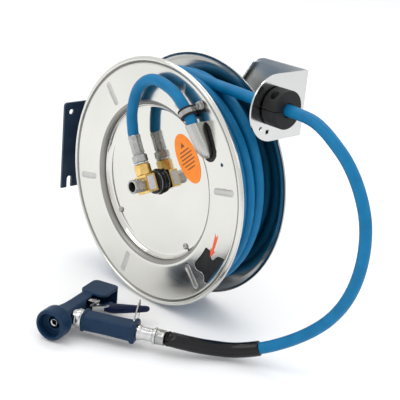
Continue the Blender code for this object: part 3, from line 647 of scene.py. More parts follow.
def handle_place(distance, offset=0.0, w=0.0):
    """A place along the handle, distance from the barrel's axis."""
    return HANDLE_END + HANDLE * (distance - HANDLE_LENGTH) + UP.cross(HANDLE) * offset + UP * w


def main_hose_line(spacing):
    ends = [handle_place(165), handle_place(157)]
    return smooth_route(HOSE_ROUTE + SLEEVE_ROUTE + ends, spacing) + [handle_place(152.8)]


def build_hose():
    """The free hose is one cord from the winding to the ferrule; its sleeve and fittings go with it."""
    line = main_hose_line(8)
    hose = curve_piece("free_hose", line, HOSE_R, "blue", "frame", ["hose_run"])
    start = min(range(len(line)), key=lambda i: (line[i] - Vector(HOSE_ROUTE[-1])).length)
    sleeve_line = line[start:]

    def sleeve_radius(share):
        edge = min(share, 1 - share)
        return SLEEVE_R - 1.3 * max(0.0, 1 - edge / 0.02) ** 2

    ends = [sleeve_line[0].lerp(sleeve_line[1], i / 6) for i in range(6)]
    dense = ends + sleeve_line[1:]
    sleeve = piece("hose_sleeve_black", swept(dense, sleeve_radius, 32), "sleeve", "frame", ["hose_sleeve"])

    def crimp(radius, distance, angle):
        if radius < 10.5 or not 142.2 < distance < 150.5:
            return radius, distance
        return radius - 0.7 * (0.5 + 0.5 * math.cos(8 * angle)), distance

    stops = [139.9, 140.2, 141.2, 142.0, 142.4, 144, 146, 148, 150.2, 150.8, 151.8, 152.4]
    profile = [(8.5, 139.9)] + [(10.3 if s in (139.9, 152.4) else 11.0, s) for s in stops] + [(8.5, 152.4)]
    ferrule = piece("hose_ferrule_crimped", turned(profile, handle_place(0), HANDLE, MEDIUM, crimp),
                    "zinc", "frame", ["hose_ferrule"])
    ring = [(8.5, 136.5), (12.2, 136.5), (12.2, 139.6), (8.5, 139.6)]
    ring = piece("swivel_ring_turned", turned(rounded(ring, 0.8), handle_place(0), HANDLE, MEDIUM),
                 "chrome", "frame", ["swivel_ring"])

    def knurl(radius, distance, angle):
        if radius < 9.4 or not 118.5 < distance < 133:
            return radius, distance
        return radius - 0.5 * (0.5 + 0.5 * math.cos(6 * angle)) ** 3, distance

    profile = [
        (8, 112.3), (11.0, 112.3), (11.0, 115.8), (9.9, 116.6), (9.6, 118), (9.6, 119), (9.6, 126),
        (9.6, 133),
        (9.6, 134), (11.2, 135.2), (11.2, 136.2), (8, 136.2),
    ]
    connector = piece("swivel_connector_turned",
                      turned(rounded(profile, 0.5), handle_place(0), HANDLE, MEDIUM, knurl),
                      "chrome", "frame", ["swivel_connector"])


def build_winding():
    """Three layers of hose on the drum, wound as one line from the payout back to the core."""
    leaves = Vector(HOSE_ROUTE[0])
    leave_deg = math.degrees(math.atan2(leaves.z, leaves.x - AXLE_X))
    front_y, rear_y = FRONT_Y + 10.6, REAR_Y - SHEET - HOSE_R - 0.6
    stops = [
        (0.0, math.hypot(leaves.x - AXLE_X, leaves.z), leaves.y), (0.3, 163.35, leaves.y + 2),
        (0.78, 163.35, 3.0), (1.0, 163.35, 11.0), (1.15, 156, 9.0), (1.3, 150.5, 0.0), (1.45, 150.5, -9.0),
        (1.6, 160, -14.5), (1.75, 163.35, -14.5), (2.75, 163.35, -31.5), (3.6, 163.35, front_y),
        (3.8, 149.2, front_y), (7.0, 149.2, 8.1), (7.4, 134.85, rear_y), (11.4, 134.85, front_y),
    ]
    line = []
    for first, last in zip(stops, stops[1:]):
        count = round((last[0] - first[0]) * 72)
        for index in range(count):
            share = index / count
            smooth = share * share * (3 - 2 * share)
            turn = first[0] + (last[0] - first[0]) * share
            a, z = polar(first[1] + (last[1] - first[1]) * smooth, leave_deg + 360 * turn)
            line.append(on_disc(a, z, first[2] + (last[2] - first[2]) * share))
    curve_piece("hose_winding", line, HOSE_R, "blue", "drum", ["wound_hose"])


def slot_depth(a, z):
    """How deep the six stamped slots of the front disc are at a place."""
    slots, first_deg, widest = 6, 12.4, 0.2
    inner, outer, half_width, wall, depth = 139.5, 169.0, 6.0, 4.4, 1.05
    deepest = 0.0
    angle = math.degrees(math.atan2(z, a))
    for step in range(slots):
        away = math.radians((angle - first_deg - 360 / slots * step + 180) % 360 - 180)
        if abs(away) > widest:
            continue
        reach = math.hypot(a, z)
        along, across = reach * math.cos(away), reach * math.sin(away)
        outside = max(inner - along, along - outer, 0.0)
        share = min(1.0, max(0.0, (half_width - math.hypot(outside, across)) / wall))
        deepest = max(deepest, depth * share * share * (3 - 2 * share))
    return deepest


def build_front_disc():
    lip = [(119.5, 7.6), (120.3, 5.2), (121.6, 3.0), (123.4, 1.4), (126.0, 0.35), (129.0, 0.0)]
    flat = [(131 + 1.25 * i, 0.0) for i in range(38)]
    bead = [
        (179.4, 0.0), (180.4, 0.5), (181.3, 1.6), (182.1, 1.8), (182.8, 0.9), (183.6, -0.8), (184.6, -1.9),
        (185.8, -2.2),
        (187.2, -2.0), (188.5, -1.1), (189.5, 0.3), (190.0, 2.0), (189.7, 3.6), (188.9, 4.7), (187.9, 4.8),
        (187.5, 4.2), (188.2, 3.0), (188.2, 1.4), (187.3, 0.0), (185.9, -0.8), (184.7, -0.3), (183.6, 1.6),
        (182.4, 2.7), (180.8, 2.6), (179.4, SHEET),
    ]
    back = [(129.2, SHEET), (126.4, 1.6), (124.2, 2.6), (122.6, 4.0), (121.4, 5.8), (120.6, 7.8)]

    def stamped(radius, distance, angle):
        if distance != 0.0:
            return radius, distance
        return radius, slot_depth(radius * math.cos(angle), -radius * math.sin(angle))

    window = arc(0, 0, 140, -40.5, -24.5, 8)
    window += [polar(152, -23.6), polar(155, -25.6), polar(158.2, -27.4), polar(161.5, -26.4),
               polar(165, -22.4)]
    window += arc(0, 0, 178, -20.5, -39.5, 8)
    window += [polar(171, -40.6), polar(168, -39.4), polar(163, -38.2), polar(157, -39.0), polar(150, -41.5)]
    way = Vector((0.46, -0.888))
    side = Vector((-way.y, way.x))
    mouth = Vector((109.0, 95.0))
    loop = arc(15, 0, 13.5, -90, 90, 10) + arc(-15, 0, 13.5, 90, 270, 10)
    outline = [tuple(mouth + way * s + side * t) for s, t in loop]
    cutters = [
        extruded(rounded(window, 4), on_disc, FRONT_Y - 8, FRONT_Y + 8),
        extruded(outline, on_disc, FRONT_Y - 8, FRONT_Y + 8),
        extruded(circle(*polar(158.3, 26.5), 2.7), on_disc, FRONT_Y - 8, FRONT_Y + 8),
    ]
    shape = about_axle(lip + flat + bead + back, FRONT_Y, 720, stamped)
    disc = piece("front_disc_pressed", shape, "disc", "drum", ["front_disc"], cuts=cutters)
    disc.data.materials.append(MATS["pressed"])
    disc.data.materials.append(MATS["wall"])
    for face in disc.data.polygons:
        spot = disc.matrix_world @ face.center / MM
        a, z = spot.x - AXLE_X, spot.z
        reach = math.hypot(a, z)
        # Painted shade: faces in the stamped slot pans take the darker pressed sheet
        if slot_depth(a, z) > 0.1:
            face.material_index = 1
        # Painted shade: the lip into the recess and the bead groove take the darker recess wall
        if reach < 126.0 or 180.0 < reach < 183.2:
            face.material_index = 2
    # Black sheets just behind the window and the mouth: painted shade, the dark seen through these holes
    outline = [polar(r, d) for r, d in ((136, -17), (179, -17), (179, -45), (136, -45))]
    mouth_shade_outline = [tuple(mouth + way * s + side * t) for s, t in ((-31, -15), (31, -15), (31, 15), (-31, 15))]
    for name, shade_sheet in (("window_painted_shade", outline), ("mouth_painted_shade", mouth_shade_outline)):
        piece(name, extruded(shade_sheet, on_disc, FRONT_Y + 1.4, FRONT_Y + 1.9), "nylon", "drum",
              bevel=0.1)


def build_arrow():
    """A curved arrow with a forked tail that points at the window's tab."""
    middle = [(-12.0, 149.5), (-15.5, 150.6), (-19.0, 151.6), (-22.0, 152.6)]
    half_widths = [3.0, 2.9, 2.6, 2.2]
    outer = [polar(r + w, d) for (d, r), w in zip(middle, half_widths)]
    inner = [polar(r - w, d) for (d, r), w in zip(middle, half_widths)]
    head = [polar(158.2, -21.8), polar(154.4, -27.0), polar(147.6, -22.4)]
    outline = outer + head + inner[::-1] + [polar(149.7, -14.2)]
    shape = extruded(outline, on_disc, FRONT_Y - 0.12, FRONT_Y - 0.02)
    piece("rotation_arrow", shape, "red", "drum")


def build_recess():
    dish = [
        (20, RECESS), (40, RECESS), (80, RECESS), (110.5, RECESS), (113.2, RECESS - 0.3),
        (115.4, RECESS - 1.2),
        (117.2, RECESS - 3.0), (118.2, RECESS - 4.8), (118.5, RECESS - 5.8), (119.3, RECESS - 5.8),
        (119.2, RECESS - 3.2), (117.9, RECESS - 1.0), (115.4, RECESS + 0.9), (112.6, RECESS + 1.4),
        (20, RECESS + 1.5),
    ]
    holes = []
    for step in range(4):
        a, z = polar(108, 42 + 90 * step)
        holes.append(rod(on_disc(a, z, FRONT_Y + 8), on_disc(a, z, FRONT_Y + 40), 2.6, 24))
        head = RECESS - 2.8
        profile = [
            (0, head + 1.4), (1.4, head + 1.4), (1.8, head + 0.4), (2.9, head), (4.1, head + 0.7),
            (4.7, head + 2.5), (2.2, head + 2.5), (2.2, 33), (0, 33),
        ]
        shape = turned(profile, on_disc(a, z, FRONT_Y), (0, 1, 0), SMALL)
        piece(f"plate_rivet_{step + 1}", shape, "steel", "drum", [f"plate_screw_{step + 1}"])
    piece("recess_plate_mirror", about_axle(dish, FRONT_Y), "mirror", "drum", ["recess_plate"],
          cuts=[merged(*holes)])


def build_sticker():
    """A long oval orange decal with plain marks, set at a slant in the recess."""
    middle = Vector((59.5, 54.0))
    half_length, half_width, slant = 39.0, 21.5, math.radians(131)
    top = FRONT_Y + RECESS - 0.05

    def on_decal(along, across, y):
        a = middle.x + along * math.cos(slant) + across * math.sin(slant)
        z = middle.y + along * math.sin(slant) - across * math.cos(slant)
        return on_disc(a, z, y)

    oval = [(half_length * c, half_width * s) for c, s in circle(0, 0, 1.0, 72)]
    piece("decal_oval", extruded(oval, on_decal, top - 0.2, top), "orange", "drum")
    marks = [extruded([(18, -4.5), (18, 4.5), (26, 0)], on_decal, top - 0.28, top - 0.15)]
    for row, half in enumerate((11, 14, 13, 15, 12, 9)):
        low = 11.5 - 5.4 * row
        marks.append(extruded([(low, -half), (low + 1.9, -half), (low + 1.9, half), (low, half)], on_decal,
                              top - 0.28, top - 0.15))
    piece("decal_marks", merged(*marks), "ink", "drum")


def build_rear_disc():
    profile = [
        (20.2, 0.0), (60, 0.0), (120, 0.0), (179, 0.0), (181.5, 0.2), (184.0, 0.9), (186.2, 0.9),
        (188.2, 0.2),
        (189.4, -1.2), (189.6, -2.0), (190.0, -1.9), (190.0, 0.2), (189.4, 1.5), (187.9, 2.3), (185.9, 2.4),
        (183.4, 2.1), (181.0, 1.4), (179, SHEET), (120, SHEET), (60, SHEET), (20.2, SHEET),
    ]
    # The rear disc takes the darker rear steel, painted shade
    piece("rear_disc_pressed", about_axle(profile, REAR_Y), "rear", "drum", ["rear_disc"])


def branch_axis():
    out_a, out_z = polar(1, BRANCH_DEG)
    return Vector((out_a, 0, out_z))


def build_swivel():
    along = branch_axis()
    across = Vector((-along.z, 0, along.x))
    start = Vector((AXLE_X, SWIVEL_Y, 0))
    half = 13.5

    def placed(s, t, y):
        return Vector((AXLE_X, y, 0)) + along * s + across * t

    square = [(-half, -half), (half, -half), (half, half), (-half, half)]
    body = extruded(rounded(square, 1.2, 3), placed, FRONT_Y - 18, FRONT_Y)
    bore = rod(on_disc(0, 0, FRONT_Y - 20), on_disc(0, 0, FRONT_Y - 4), 10)
    piece("swivel_block_machined", body, "brass", "drum", ["swivel_block"], bevel=0.9, cuts=[bore])
    face = block((-10.5, -half - 0.25, FRONT_Y - 15.5), (10.5, -half + 0.05, FRONT_Y - 3.5), placed)
    piece("block_label", face, "label", "drum", bevel=0.1)

    profile = [
        (7.6, -37.0), (8.0, -37.5), (9.6, -37.5), (10.4, -36.8), (10.4, -22.8), (10.4, -18.4), (9.6, -18.3),
        (9.6, -6.0), (5.6, -6.0), (5.6, -33.0), (7.4, -33.6),
    ]
    shape = threaded(profile, (AXLE_X, FRONT_Y, 0), (0, 1, 0), -36.6, -23.0, 10.4, 1.8, 0.5)
    piece("inlet_nipple_threaded", shape, "steel", "inlet", ["inlet_nipple"])

    stack = [
        (0, 0.4), (13.0, 0.4), (13.0, 3.6), (15.6, 3.7), (17.2, 4.4), (17.5, 5.6), (17.0, 6.9), (14.6, 7.2),
        (14.6, 8.6), (17.0, 8.8), (17.5, 10.0), (17.2, 11.4), (16.0, 12.0), (18.6, 12.6), (19, 13.6),
        (0, 13.7),
    ]
    piece("swivel_seals", about_axle(rounded(stack, 0.4), FRONT_Y, MEDIUM), "nylon", "drum", ["swivel_seat"])
    plate = [(12.0, 7.4), (17.8, 7.4), (18.2, 7.9), (17.8, 8.4), (12.0, 8.4)]
    piece("swivel_clip", about_axle(plate, FRONT_Y, MEDIUM), "zinc", "drum")

    piece("branch_hexagon", nut(21.6, 5.0, half + 0.3, 30.5, start, along), "brass", "drum",
          ["branch_adapter"])
    collar = [(5, 30.8), (10.9, 30.8), (11.5, 31.4), (11.5, 32.8), (11.0, 33.3), (5, 33.3)]
    piece("branch_collar_bright", turned(rounded(collar, 0.4), start, along, MEDIUM), "chrome", "drum",
          ["branch_collar"])
    piece("branch_nut_plated", nut(20.2, 5.0, 33.6, 45.2, start, along), "zinc", "drum", ["branch_nut"])

    def crimp(radius, distance, angle):
        if radius < 9 or not 50 < distance < 71:
            return radius, distance
        return radius - 0.35 * (0.5 + 0.5 * math.cos(8 * angle)), distance

    profile = [
        (5, 45.5), (8.4, 45.5), (8.6, 47.0), (9.4, 48.0), (9.5, 50.2), (9.4, 53), (9.35, 61), (9.4, 69),
        (9.5, 72), (9.5, 74.2), (9.1, 75.4), (8.4, 75.4),
    ]
    piece("loop_ferrule_crimped", turned(rounded(profile, 0.4), start, along, MEDIUM, crimp), "zinc", "drum",
          ["loop_ferrule"])

    loop_line = [start + along * 74.5] + smooth_route([start + along * 80] + LOOP_ROUTE, 4)
    curve_piece("loop_hose", loop_line, HOSE_R, "blue", "drum", ["hose_loop"])


def build_clamp():
    outward = Vector((-CLAMP_WAY.z, 0, CLAMP_WAY.x))
    low, high = CLAMP_PLACE - CLAMP_WAY * 3.6, CLAMP_PLACE + CLAMP_WAY * 3.6
    lining = [(9.1, -6.4), (12.5, -6.4), (12.9, -3.9), (10.4, -3.7), (10.4, 3.7), (12.9, 3.9), (12.5, 6.4),
              (9.1, 6.4)]
    piece("clamp_lining_rubber", turned(rounded(lining, 0.6), CLAMP_PLACE, CLAMP_WAY, MEDIUM), "rubber",
          "drum",
          ["clamp_lining"])

    def on_foot(s, t, y):
        return Vector((CLAMP_PLACE.x, y, CLAMP_PLACE.z)) + CLAMP_WAY * s + outward * t

    band = [(10.6, 0.0), (11.9, 0.0), (11.9, (high - low).length), (10.6, (high - low).length)]
    foot = extruded(rounded([(-5.6, 4), (5.6, 4), (5.6, 24), (-5.6, 24)], 4), on_foot, FRONT_Y - 3.2,
                    FRONT_Y - 1.4)
    ear = extruded([(-3.6, 8.5), (3.6, 8.5), (3.6, 12.5), (-3.6, 12.5)], on_foot, FRONT_Y - 9.5, FRONT_Y - 2)
    piece("clamp_band", merged(turned(rounded(band, 0.3), low, CLAMP_WAY, MEDIUM), foot, ear), "zinc",
          "drum",
          ["hose_clamp"], bevel=0.3)
    bolt = on_foot(0, 18.5, FRONT_Y)
    head = nut(11.0, 1.0, -8.4, -3.5, bolt, (0, 1, 0))
    washer = turned([(0, -4.0), (6.6, -4.0), (6.6, -3.1), (0, -3.1)], bolt, (0, 1, 0), SMALL)
    shank = rod(bolt + Vector((0, -8.2, 0)), bolt + Vector((0, -0.4, 0)), 2.5, 24)
    piece("clamp_bolt_hex", merged(head, washer, shank), "steel", "drum", ["clamp_bolt"])


def build_scoop():
    """A tapering half tube over the place where the loop goes into the drum."""
    first, last = Vector((313, 0, 117)), Vector((338, 0, 73))
    way = (last - first).normalized()
    across = Vector((way.z, 0, -way.x))
    foot = FRONT_Y - 0.4
    stations = 16
    steps = 24
    rings = []
    for index in range(stations + 1):
        share = index / stations
        nose = max(0.0, (share - 0.62) / 0.38)
        radius = 10.9 - 0.6 * share - 6.4 * (1 - math.sqrt(max(0.0, 1 - nose ** 2)))
        lift = 12.8 * (1 - share) ** 0.8
        middle = first.lerp(last, share)
        ring = []
        for reach, order in ((radius, range(steps + 1)), (radius - 1.2, range(steps, -1, -1))):
            for step in order:
                angle = math.pi * step / steps
                rise = lift * min(1.0, 4 * math.sin(angle)) + reach * math.sin(angle)
                spot = middle + across * reach * math.cos(angle)
                ring.append(Vector((spot.x, foot - rise, spot.z)))
        rings.append(ring)
    # The scoop takes the darker pressed sheet, painted shade
    piece("scoop_formed", lofted(rings), "pressed", "drum", ["scoop"], bevel=0.3)


def build_guide():
    sheet = 2.5
    flange_y = ARM_Y - 0.3 - sheet

    outline = [
        (30, 50), (40, 34), (80, 18), (104, 22), (122, 109.4), (179.5, 109.4), (179.5, 203.5), (96, 203.5),
        (86, 200), (75, 183), (58, 158),
    ]
    bolts = [(52.0, 60.0), (86.0, 42.0)]
    holes = [circle(a, z, 4.3) for a, z in bolts]
    flange = extruded(rounded(outline, 5), on_disc, flange_y, flange_y + sheet, holes)

    end_y, end_z, end_r = FRONT_Y + 51.0, 156.4, 47.0
    face = arc(end_y, end_z, end_r, 90, 270, 48)
    face += [(flange_y + 1.5, end_z - end_r), (flange_y + 1.5, end_z + end_r)]
    notch = extruded([(end_y + dy, end_z + dz) for dy, dz in ((-13, -36), (-7, -36), (-7, -30), (-13, -30))],
                     on_wall, FACE_X - 5, FACE_X + 8)
    small = extruded(circle(end_y - 24, end_z - 27, 3.0), on_wall, FACE_X - 5, FACE_X + 8)
    plate = extruded(face, on_wall, FACE_X, FACE_X + sheet, [circle(GUIDE_Y, GUIDE_Z, 19.5, 64)])
    corner, top = Vector((58, 158, 0)), Vector((86, 200, 0))
    along = (top - corner).normalized()
    across = Vector((-along.y, along.x, 0))

    def on_edge(s, t, y):
        spot = corner + along * s + across * t
        return on_disc(spot.x, spot.y, y)

    hem = block((2, -2.2, flange_y - 6), (46, 0.4, flange_y + 1), on_edge)
    piece("guide_face", plate, "bracket", "frame", ["guide_bracket"], cuts=[notch, small], bevel=0.5)
    # The flange takes the darker satin sheet, painted shade
    piece("guide_flange", flange, "flange", "frame", bevel=0.5)
    piece("guide_hem", hem, "bracket", "frame", bevel=0.6)
    bush = [(11, -3.5), (23.2, -3.5), (23.5, -3.0), (23.5, -0.4), (19.2, -0.3), (19.2, 3.5), (12, 3.5)]
    piece("guide_bush_moulded", turned(rounded(bush, 0.6), (FACE_X, GUIDE_Y, GUIDE_Z), (1, 0, 0), MEDIUM),
          "nylon", "frame", ["guide_bush"])
    for number, (a, z) in enumerate(bolts, 1):
        front = flange_y - 0.3
        place = (AXLE_X + a, front, z)
        head = nut(13.0, 1.0, -5.0, 0.0, place, (0, 1, 0))
        shank = rod(Vector(place) + Vector((0, -4, 0)), Vector(place) + Vector((0, ARM_Y + 4.5 - front, 0)),
                    4.0)
        piece(f"guide_bolt_hex_{number}", merged(head, shank), "zinc", "frame", [f"guide_bolt_{number}"])


def build_bumper():
    """Two rubber halves clamped round the hose against the guide."""
    start, end = node_box("bumper_upper")[0].x, node_box("bumper_upper")[1].x
    middle = (start + end) / 2
    outer, bore, screw_side = 27.0, HOSE_R + 0.9, 17.0
    for name, sign in (("upper", 1), ("lower", -1)):
        rings = []
        count = 40
        low = GUIDE_Z + 0.3
        profile = rounded([(bore, start), (outer, start), (outer, end), (bore, end)], 2.2, 5)
        for step in range(count + 1):
            turn = math.radians(1.0 + 178.0 * step / count) * sign
            ring = [Vector((x, GUIDE_Y + r * math.cos(turn), low + r * math.sin(turn))) for r, x in profile]
            rings.append(ring)
        pockets = []
        for side in (-screw_side, screw_side):
            spot = Vector((middle, GUIDE_Y + side, GUIDE_Z))
            if sign > 0:
                pockets.append(rod(spot + UP * 10, spot + UP * 40, 5.5, 32))
        piece(f"bumper_{name}_half", lofted(rings), "rubber", "frame", [f"bumper_{name}"], bevel=0.5,
              cuts=[merged(*pockets)] if pockets else [])
    for number, side in enumerate((-screw_side, screw_side), 1):
        place = (middle, GUIDE_Y + side, GUIDE_Z)
        profile = [(0, -13), (2.6, -13), (2.6, 10.4), (5, 10.4), (5, 13.6), (4.2, 14.5), (2.4, 14.5),
                   (2.2, 12.0), (0, 12.0)]
        piece(f"bumper_screw_socket_{number}", turned(profile, place, (0, 0, 1), SMALL), "steel", "frame",
              [f"bumper_screw_{number}"])


def build_wall_side():
    half, top, bottom = 60.5, 70.5, -76.8
    slot_y, slot_top, slot_half = 45.4, -57.0, 4.75
    outline = [(-half, bottom)]
    for side in (-slot_y, slot_y):
        outline.append((side - slot_half, bottom))
        outline += arc(side, slot_top - slot_half, slot_half, 180, 0, 16)
        outline.append((side + slot_half, bottom))
    outline.append((half, bottom))
    outline += arc(half - 6, top - 6, 6, 0, 90, 8)
    outline += arc(6 - half, top - 6, 6, 90, 180, 8)
    bolts = [(38.0, -28.0), (38.0, 24.0)]
    holes = [circle(y, 54.5, 4.5) for y in (-46.5, 46.5)] + [circle(y, z, 4.3) for y, z in bolts]
    piece("wall_plate_painted", extruded(outline, on_wall, 0, 4.0, holes), "paint", "frame", ["wall_plate"],
          bevel=0.5)

    foot = 4.3
    start = foot - AXLE_X
    outline = [
        (start, 44), (-60, 48), (10, 80), (70, 80), (104, 52), (104, 20), (50, -36), (20, -48), (-20, -48),
        (-120, -46), (start, -44),
    ]
    arm = extruded(rounded(outline, 8), on_disc, ARM_Y, ARM_Y + 5, [circle(0, 0, 12.8)])
    leg = block((foot, 24, -44), (foot + 5, ARM_Y + 2, 44))
    drill = merged(*[rod((foot - 5, y, z), (foot + 20, y, z), 4.3) for y, z in bolts])
    piece("frame_arm_painted", arm, "paint", "frame", ["frame_arm"], joins=[leg], cuts=[drill], bevel=0.6)
    for number, (y, z) in enumerate(bolts, 1):
        head = nut(13.0, 1.0, 9.6, 15.1, (0, y, z), (1, 0, 0))
        shank = rod((1, y, z), (12, y, z), 4.0)
        piece(f"arm_bolt_hex_{number}", merged(head, shank), "zinc", "frame", [f"arm_bolt_{number}"])
    washer = [(12.8, 5.3), (22, 5.3), (22, 7.3), (12.8, 7.3)]
    piece("axle_washer_plated", turned(rounded(washer, 0.4), (AXLE_X, ARM_Y, 0), (0, 1, 0), MEDIUM), "zinc",
          "frame", ["axle_washer"])
    piece("axle_nut_hex", nut(34.6, 12.8, 7.6, 17.3, (AXLE_X, ARM_Y, 0), (0, 1, 0)), "zinc", "frame",
          ["axle_nut"])


def build_ratchet():
    teeth = 12
    outline = []
    for step in range(teeth):
        outline.append(polar(50, 360 * step / teeth))
        outline.append(polar(43, 360 * (step + 0.12) / teeth))
    shape = extruded(outline, on_disc, FRONT_Y + 92, FRONT_Y + 98, [circle(0, 0, 20.2, 48)])
    piece("ratchet_wheel_cut", shape, "steel", "drum", ["ratchet_wheel"], bevel=0.4)
    spot = joint_place("pawl_pivot")
    a, z = spot.x - AXLE_X, spot.z
    outline = arc(a, z, 8, 70, 290, 20) + [(a + 26, z - 8.5), (a + 38, z - 10.5), (a + 38, z - 4.5),
                                           (a + 24, z + 2)]
    shape = extruded(outline, on_disc, FRONT_Y + 93.4, FRONT_Y + 97.6, [circle(a, z, 4.3)])
    piece("pawl_pressed", shape, "zinc", "pawl", ["pawl"], bevel=0.4)
    path = []
    for step in range(97):
        angle = 2 * math.pi * step / 32
        path.append(on_disc(a + 6.2 * math.cos(angle), z + 6.2 * math.sin(angle),
                            FRONT_Y + 100 + 9.0 * step / 96))
    piece("pawl_spring_wire", swept(path, lambda share: 0.8, 10), "steel", "frame", ["pawl_spring"])
    pin = rod(on_disc(a, z, FRONT_Y + 92.2), on_disc(a, z, ARM_Y - 0.3), 4.0)
    piece("pawl_pin_turned", pin, "steel", "frame", ["pawl_pin"], bevel=0.4)


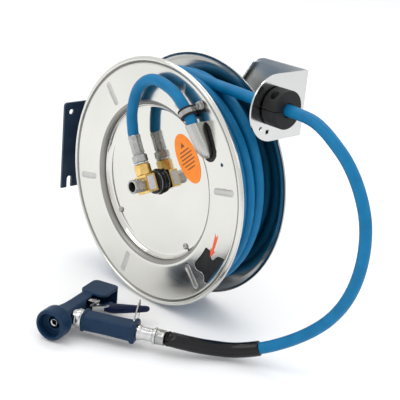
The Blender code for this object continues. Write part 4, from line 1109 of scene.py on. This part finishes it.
def build_gun():
    zero = gun_place(0, 0, 0)
    valve = rod(gun_place(-80, 0, 0), gun_place(-20, 0, 0), 8)
    stem_tube = turned([(0, 2), (9, 2), (9.4, 12), (9, 16), (9, 111.2), (0, 111.2)], handle_place(0), HANDLE,
                       48)
    ears = [block((-82, 0.5, low), (-70, 24, low + 2.5), gun_place) for low in (7.1, -9.6)]
    drill = rod(gun_place(-90, 0, 0), gun_place(-62, 0, 0), 4.4)
    cross = rod(gun_place(PIVOT_U, PIVOT_V, -15), gun_place(PIVOT_U, PIVOT_V, 15), 2.8)
    piece("valve_body_chrome", valve, "chrome", "gun", ["gun_valve_body"], joins=[stem_tube, *ears],
          cuts=[drill, cross], bevel=0.5)
    collar = [(9.6, 12.5), (11.4, 14), (12.0, 15.5), (13.0, 19.2), (12.4, 19.9), (12.4, 21.0), (14.4, 21.4),
              (14.5, 22.2), (14.5, 26.0), (13.6, 27.0), (13.4, 28.5), (9.6, 28.5)]
    piece("gun_collar_chrome", turned(rounded(collar, 0.5), handle_place(0), HANDLE, MEDIUM), "chrome",
          "gun",
          ["gun_collar"])

    stations = [
        (29, 13.4, 12.6), (29.6, 14.6, 13.6), (31.6, 15, 14), (32.8, 14.4, 13.4), (33.6, 13.1, 12.3),
        (60, 12.9, 12.1), (85, 13.2, 12.3), (101.5, 13.5, 12.6), (103, 14.2, 13.4), (104.4, 15.4, 14.5),
        (107, 15.8, 14.8), (109.4, 15.2, 14.4), (110.3, 13.6, 13.0),
    ]
    rings = []
    for distance, half_u, half_w in stations:
        outline = rounded_rectangle(half_u, half_w, 5.5, 6)
        rings.append([handle_place(distance, u, w) for u, w in outline])
    piece("grip_cover", lofted(rings), "cover", "gun", ["gun_grip"], bevel=0.3,
          cuts=[rod(handle_place(20), handle_place(120), 9.4)])

    rings = []
    for u, half_v, half_w in ((-94, 11.6, 12.6), (-60, 11.8, 12.4), (-40, 12.4, 12.6), (-22, 14, 14),
                              (-13.2, 15, 15)):
        rings.append([gun_place(u, v, w) for v, w in rounded_rectangle(half_v, half_w, 5.5, 6)])
    hood = rounded([(-22, -22), (22, -22), (22, 22), (-22, 22)], 10, 8)
    hood = [(u - 108, v + 8) for u, v in hood]
    neck = rod(handle_place(0), handle_place(40), 10.5)
    piece("gun_cover_hood", lofted(rings), "cover", "gun", ["gun_shell"],
          joins=[extruded(hood, gun_place, -15, 15)],
          cuts=[block((-124, -8, -11), (-80, 45, 11), gun_place),
                block((-92, -0.2, -10.4), (-66, 45, 10.4), gun_place),
                rod(gun_place(-95, 0, 0), gun_place(-16, 0, 0), 8.3), neck],
          voxel=0.8, melt=5)
    guard = [
        (9.4, -12.4), (19.2, -12.4), (22.4, -10.5), (23.2, -7.5), (23.2, 10.0), (22.2, 12.8), (20.0, 14.0),
        (18.2, 13.4), (17.5, 11.0), (17.2, 1.0), (9.4, 1.0),
    ]
    piece("nozzle_ring_rubber", turned(rounded(guard, 1.0), zero, FORWARD, 96), "cover", "gun",
          ["nozzle_guard"])
    tip = [(3.5, -17.6), (8.0, -17.6), (8.0, -12.0), (6.4, -11.6), (6.3, -1.0), (5.2, 1.5), (3.5, 0.5)]
    piece("nozzle_chrome", turned(rounded(tip, 0.4), zero, FORWARD, MEDIUM), "chrome", "gun", ["nozzle"])

    outline = [
        (-94, -5), (-90, -5), (-86, 8.4), (-72, 12.0), (-67, 20), (-73, 31), (-78, 42), (-90, 42), (-91, 32),
        (-86, 22), (-94, 6),
    ]
    slit = block((-100, -10, -2.7), (-84.0, 5.5, 2.7), gun_place)
    hole = rod(gun_place(PIVOT_U, PIVOT_V, -15), gun_place(PIVOT_U, PIVOT_V, 15), 2.8)
    blade = [
        (-82.5, 31, 9.0, 6.6), (-84.4, 38, 8.8, 7.0), (-86.6, 46, 8.2, 6.8), (-96.5, 61, 6.8, 6.0),
        (-107.0, 77, 5.0, 5.2), (-113.6, 85.6, 3.9, 4.6), (-115.8, 88.2, 2.9, 3.4), (-116.8, 89.4, 1.2, 1.4),
    ]
    rings = []
    for u, v, thick, high in blade:
        rings.append([gun_place(u + thick * c * 0.84, v + thick * c * 0.54, high * s)
                      for c, s in rounded_rectangle(1.0, 1.0, 0.8, 5)])
    piece("trigger_root", extruded(rounded(outline, 2), gun_place, -6.2, 6.2), "chrome", "lever",
          ["trigger_lever"], cuts=[slit, hole], bevel=1.2)
    piece("trigger_cover", lofted(rings), "lever", "lever")
    pin = turned([(0, -10), (3.4, -10), (3.4, -9.9), (2.5, -9.8), (2.5, 9.8), (3.4, 9.9), (3.4, 10),
                  (0, 10)],
                 gun_place(PIVOT_U, PIVOT_V, 0), UP, 24)
    piece("lever_pin_turned", pin, "steel", "gun", ["lever_pin"])
    stem = [(0, 64), (4.1, 64), (4.1, 68), (1.9, 68.5), (1.9, 95.5), (4.0, 95.6), (4.5, 96.2), (4.5, 98.4),
            (3.9, 99), (0, 99)]
    piece("valve_stem_turned", turned(stem, zero, -FORWARD, SMALL), "chrome", "stem", ["valve_stem"])
    hinge_u, hinge_v = -41.8, 104.0
    half_loop = [
        (hinge_u, hinge_v, 16.1), (-55, 98.5, 16.1), (-85, 86, 15.0), (-108, 76.4, 12.5), (-115, 73.5, 10.5),
        (-117.6, 72.4, 7.0), (-117.9, 72.3, 0),
    ]
    whole = half_loop + [(u, v, -w) for u, v, w in half_loop[-2::-1]]
    path = smooth_route([gun_place(*p) for p in whole], 2.5)
    piece("hold_down_bail", swept(path, lambda share: 1.2, 12), "chrome", "hold_down", ["hold_down_wire"])


def finish_hidden_nodes():
    """The CAD nodes that stay take the same finishes, by their material slot."""
    finish = {
        "steel": "steel", "plated_steel": "zinc", "nylon": "nylon", "stainless": "disc", "brass": "brass",
        "chrome": "chrome", "rubber": "rubber", "frame_paint": "paint", "hose_blue": "blue",
        "gun_cover": "cover",
    }
    for name, node in frame["nodes"].items():
        node.data.materials.clear()
        node.data.materials.append(MATS[finish[SLOT_OF[name]]])


def main():
    make_camera()
    make_materials()
    build_hose()
    make_studio()
    finish_hidden_nodes()
    for build in (build_winding, build_front_disc, build_arrow, build_recess, build_sticker, build_rear_disc,
                  build_swivel, build_clamp, build_scoop, build_guide, build_bumper, build_wall_side,
                  build_ratchet, build_gun):
        build()


main()
bpy.context.view_layer.update()
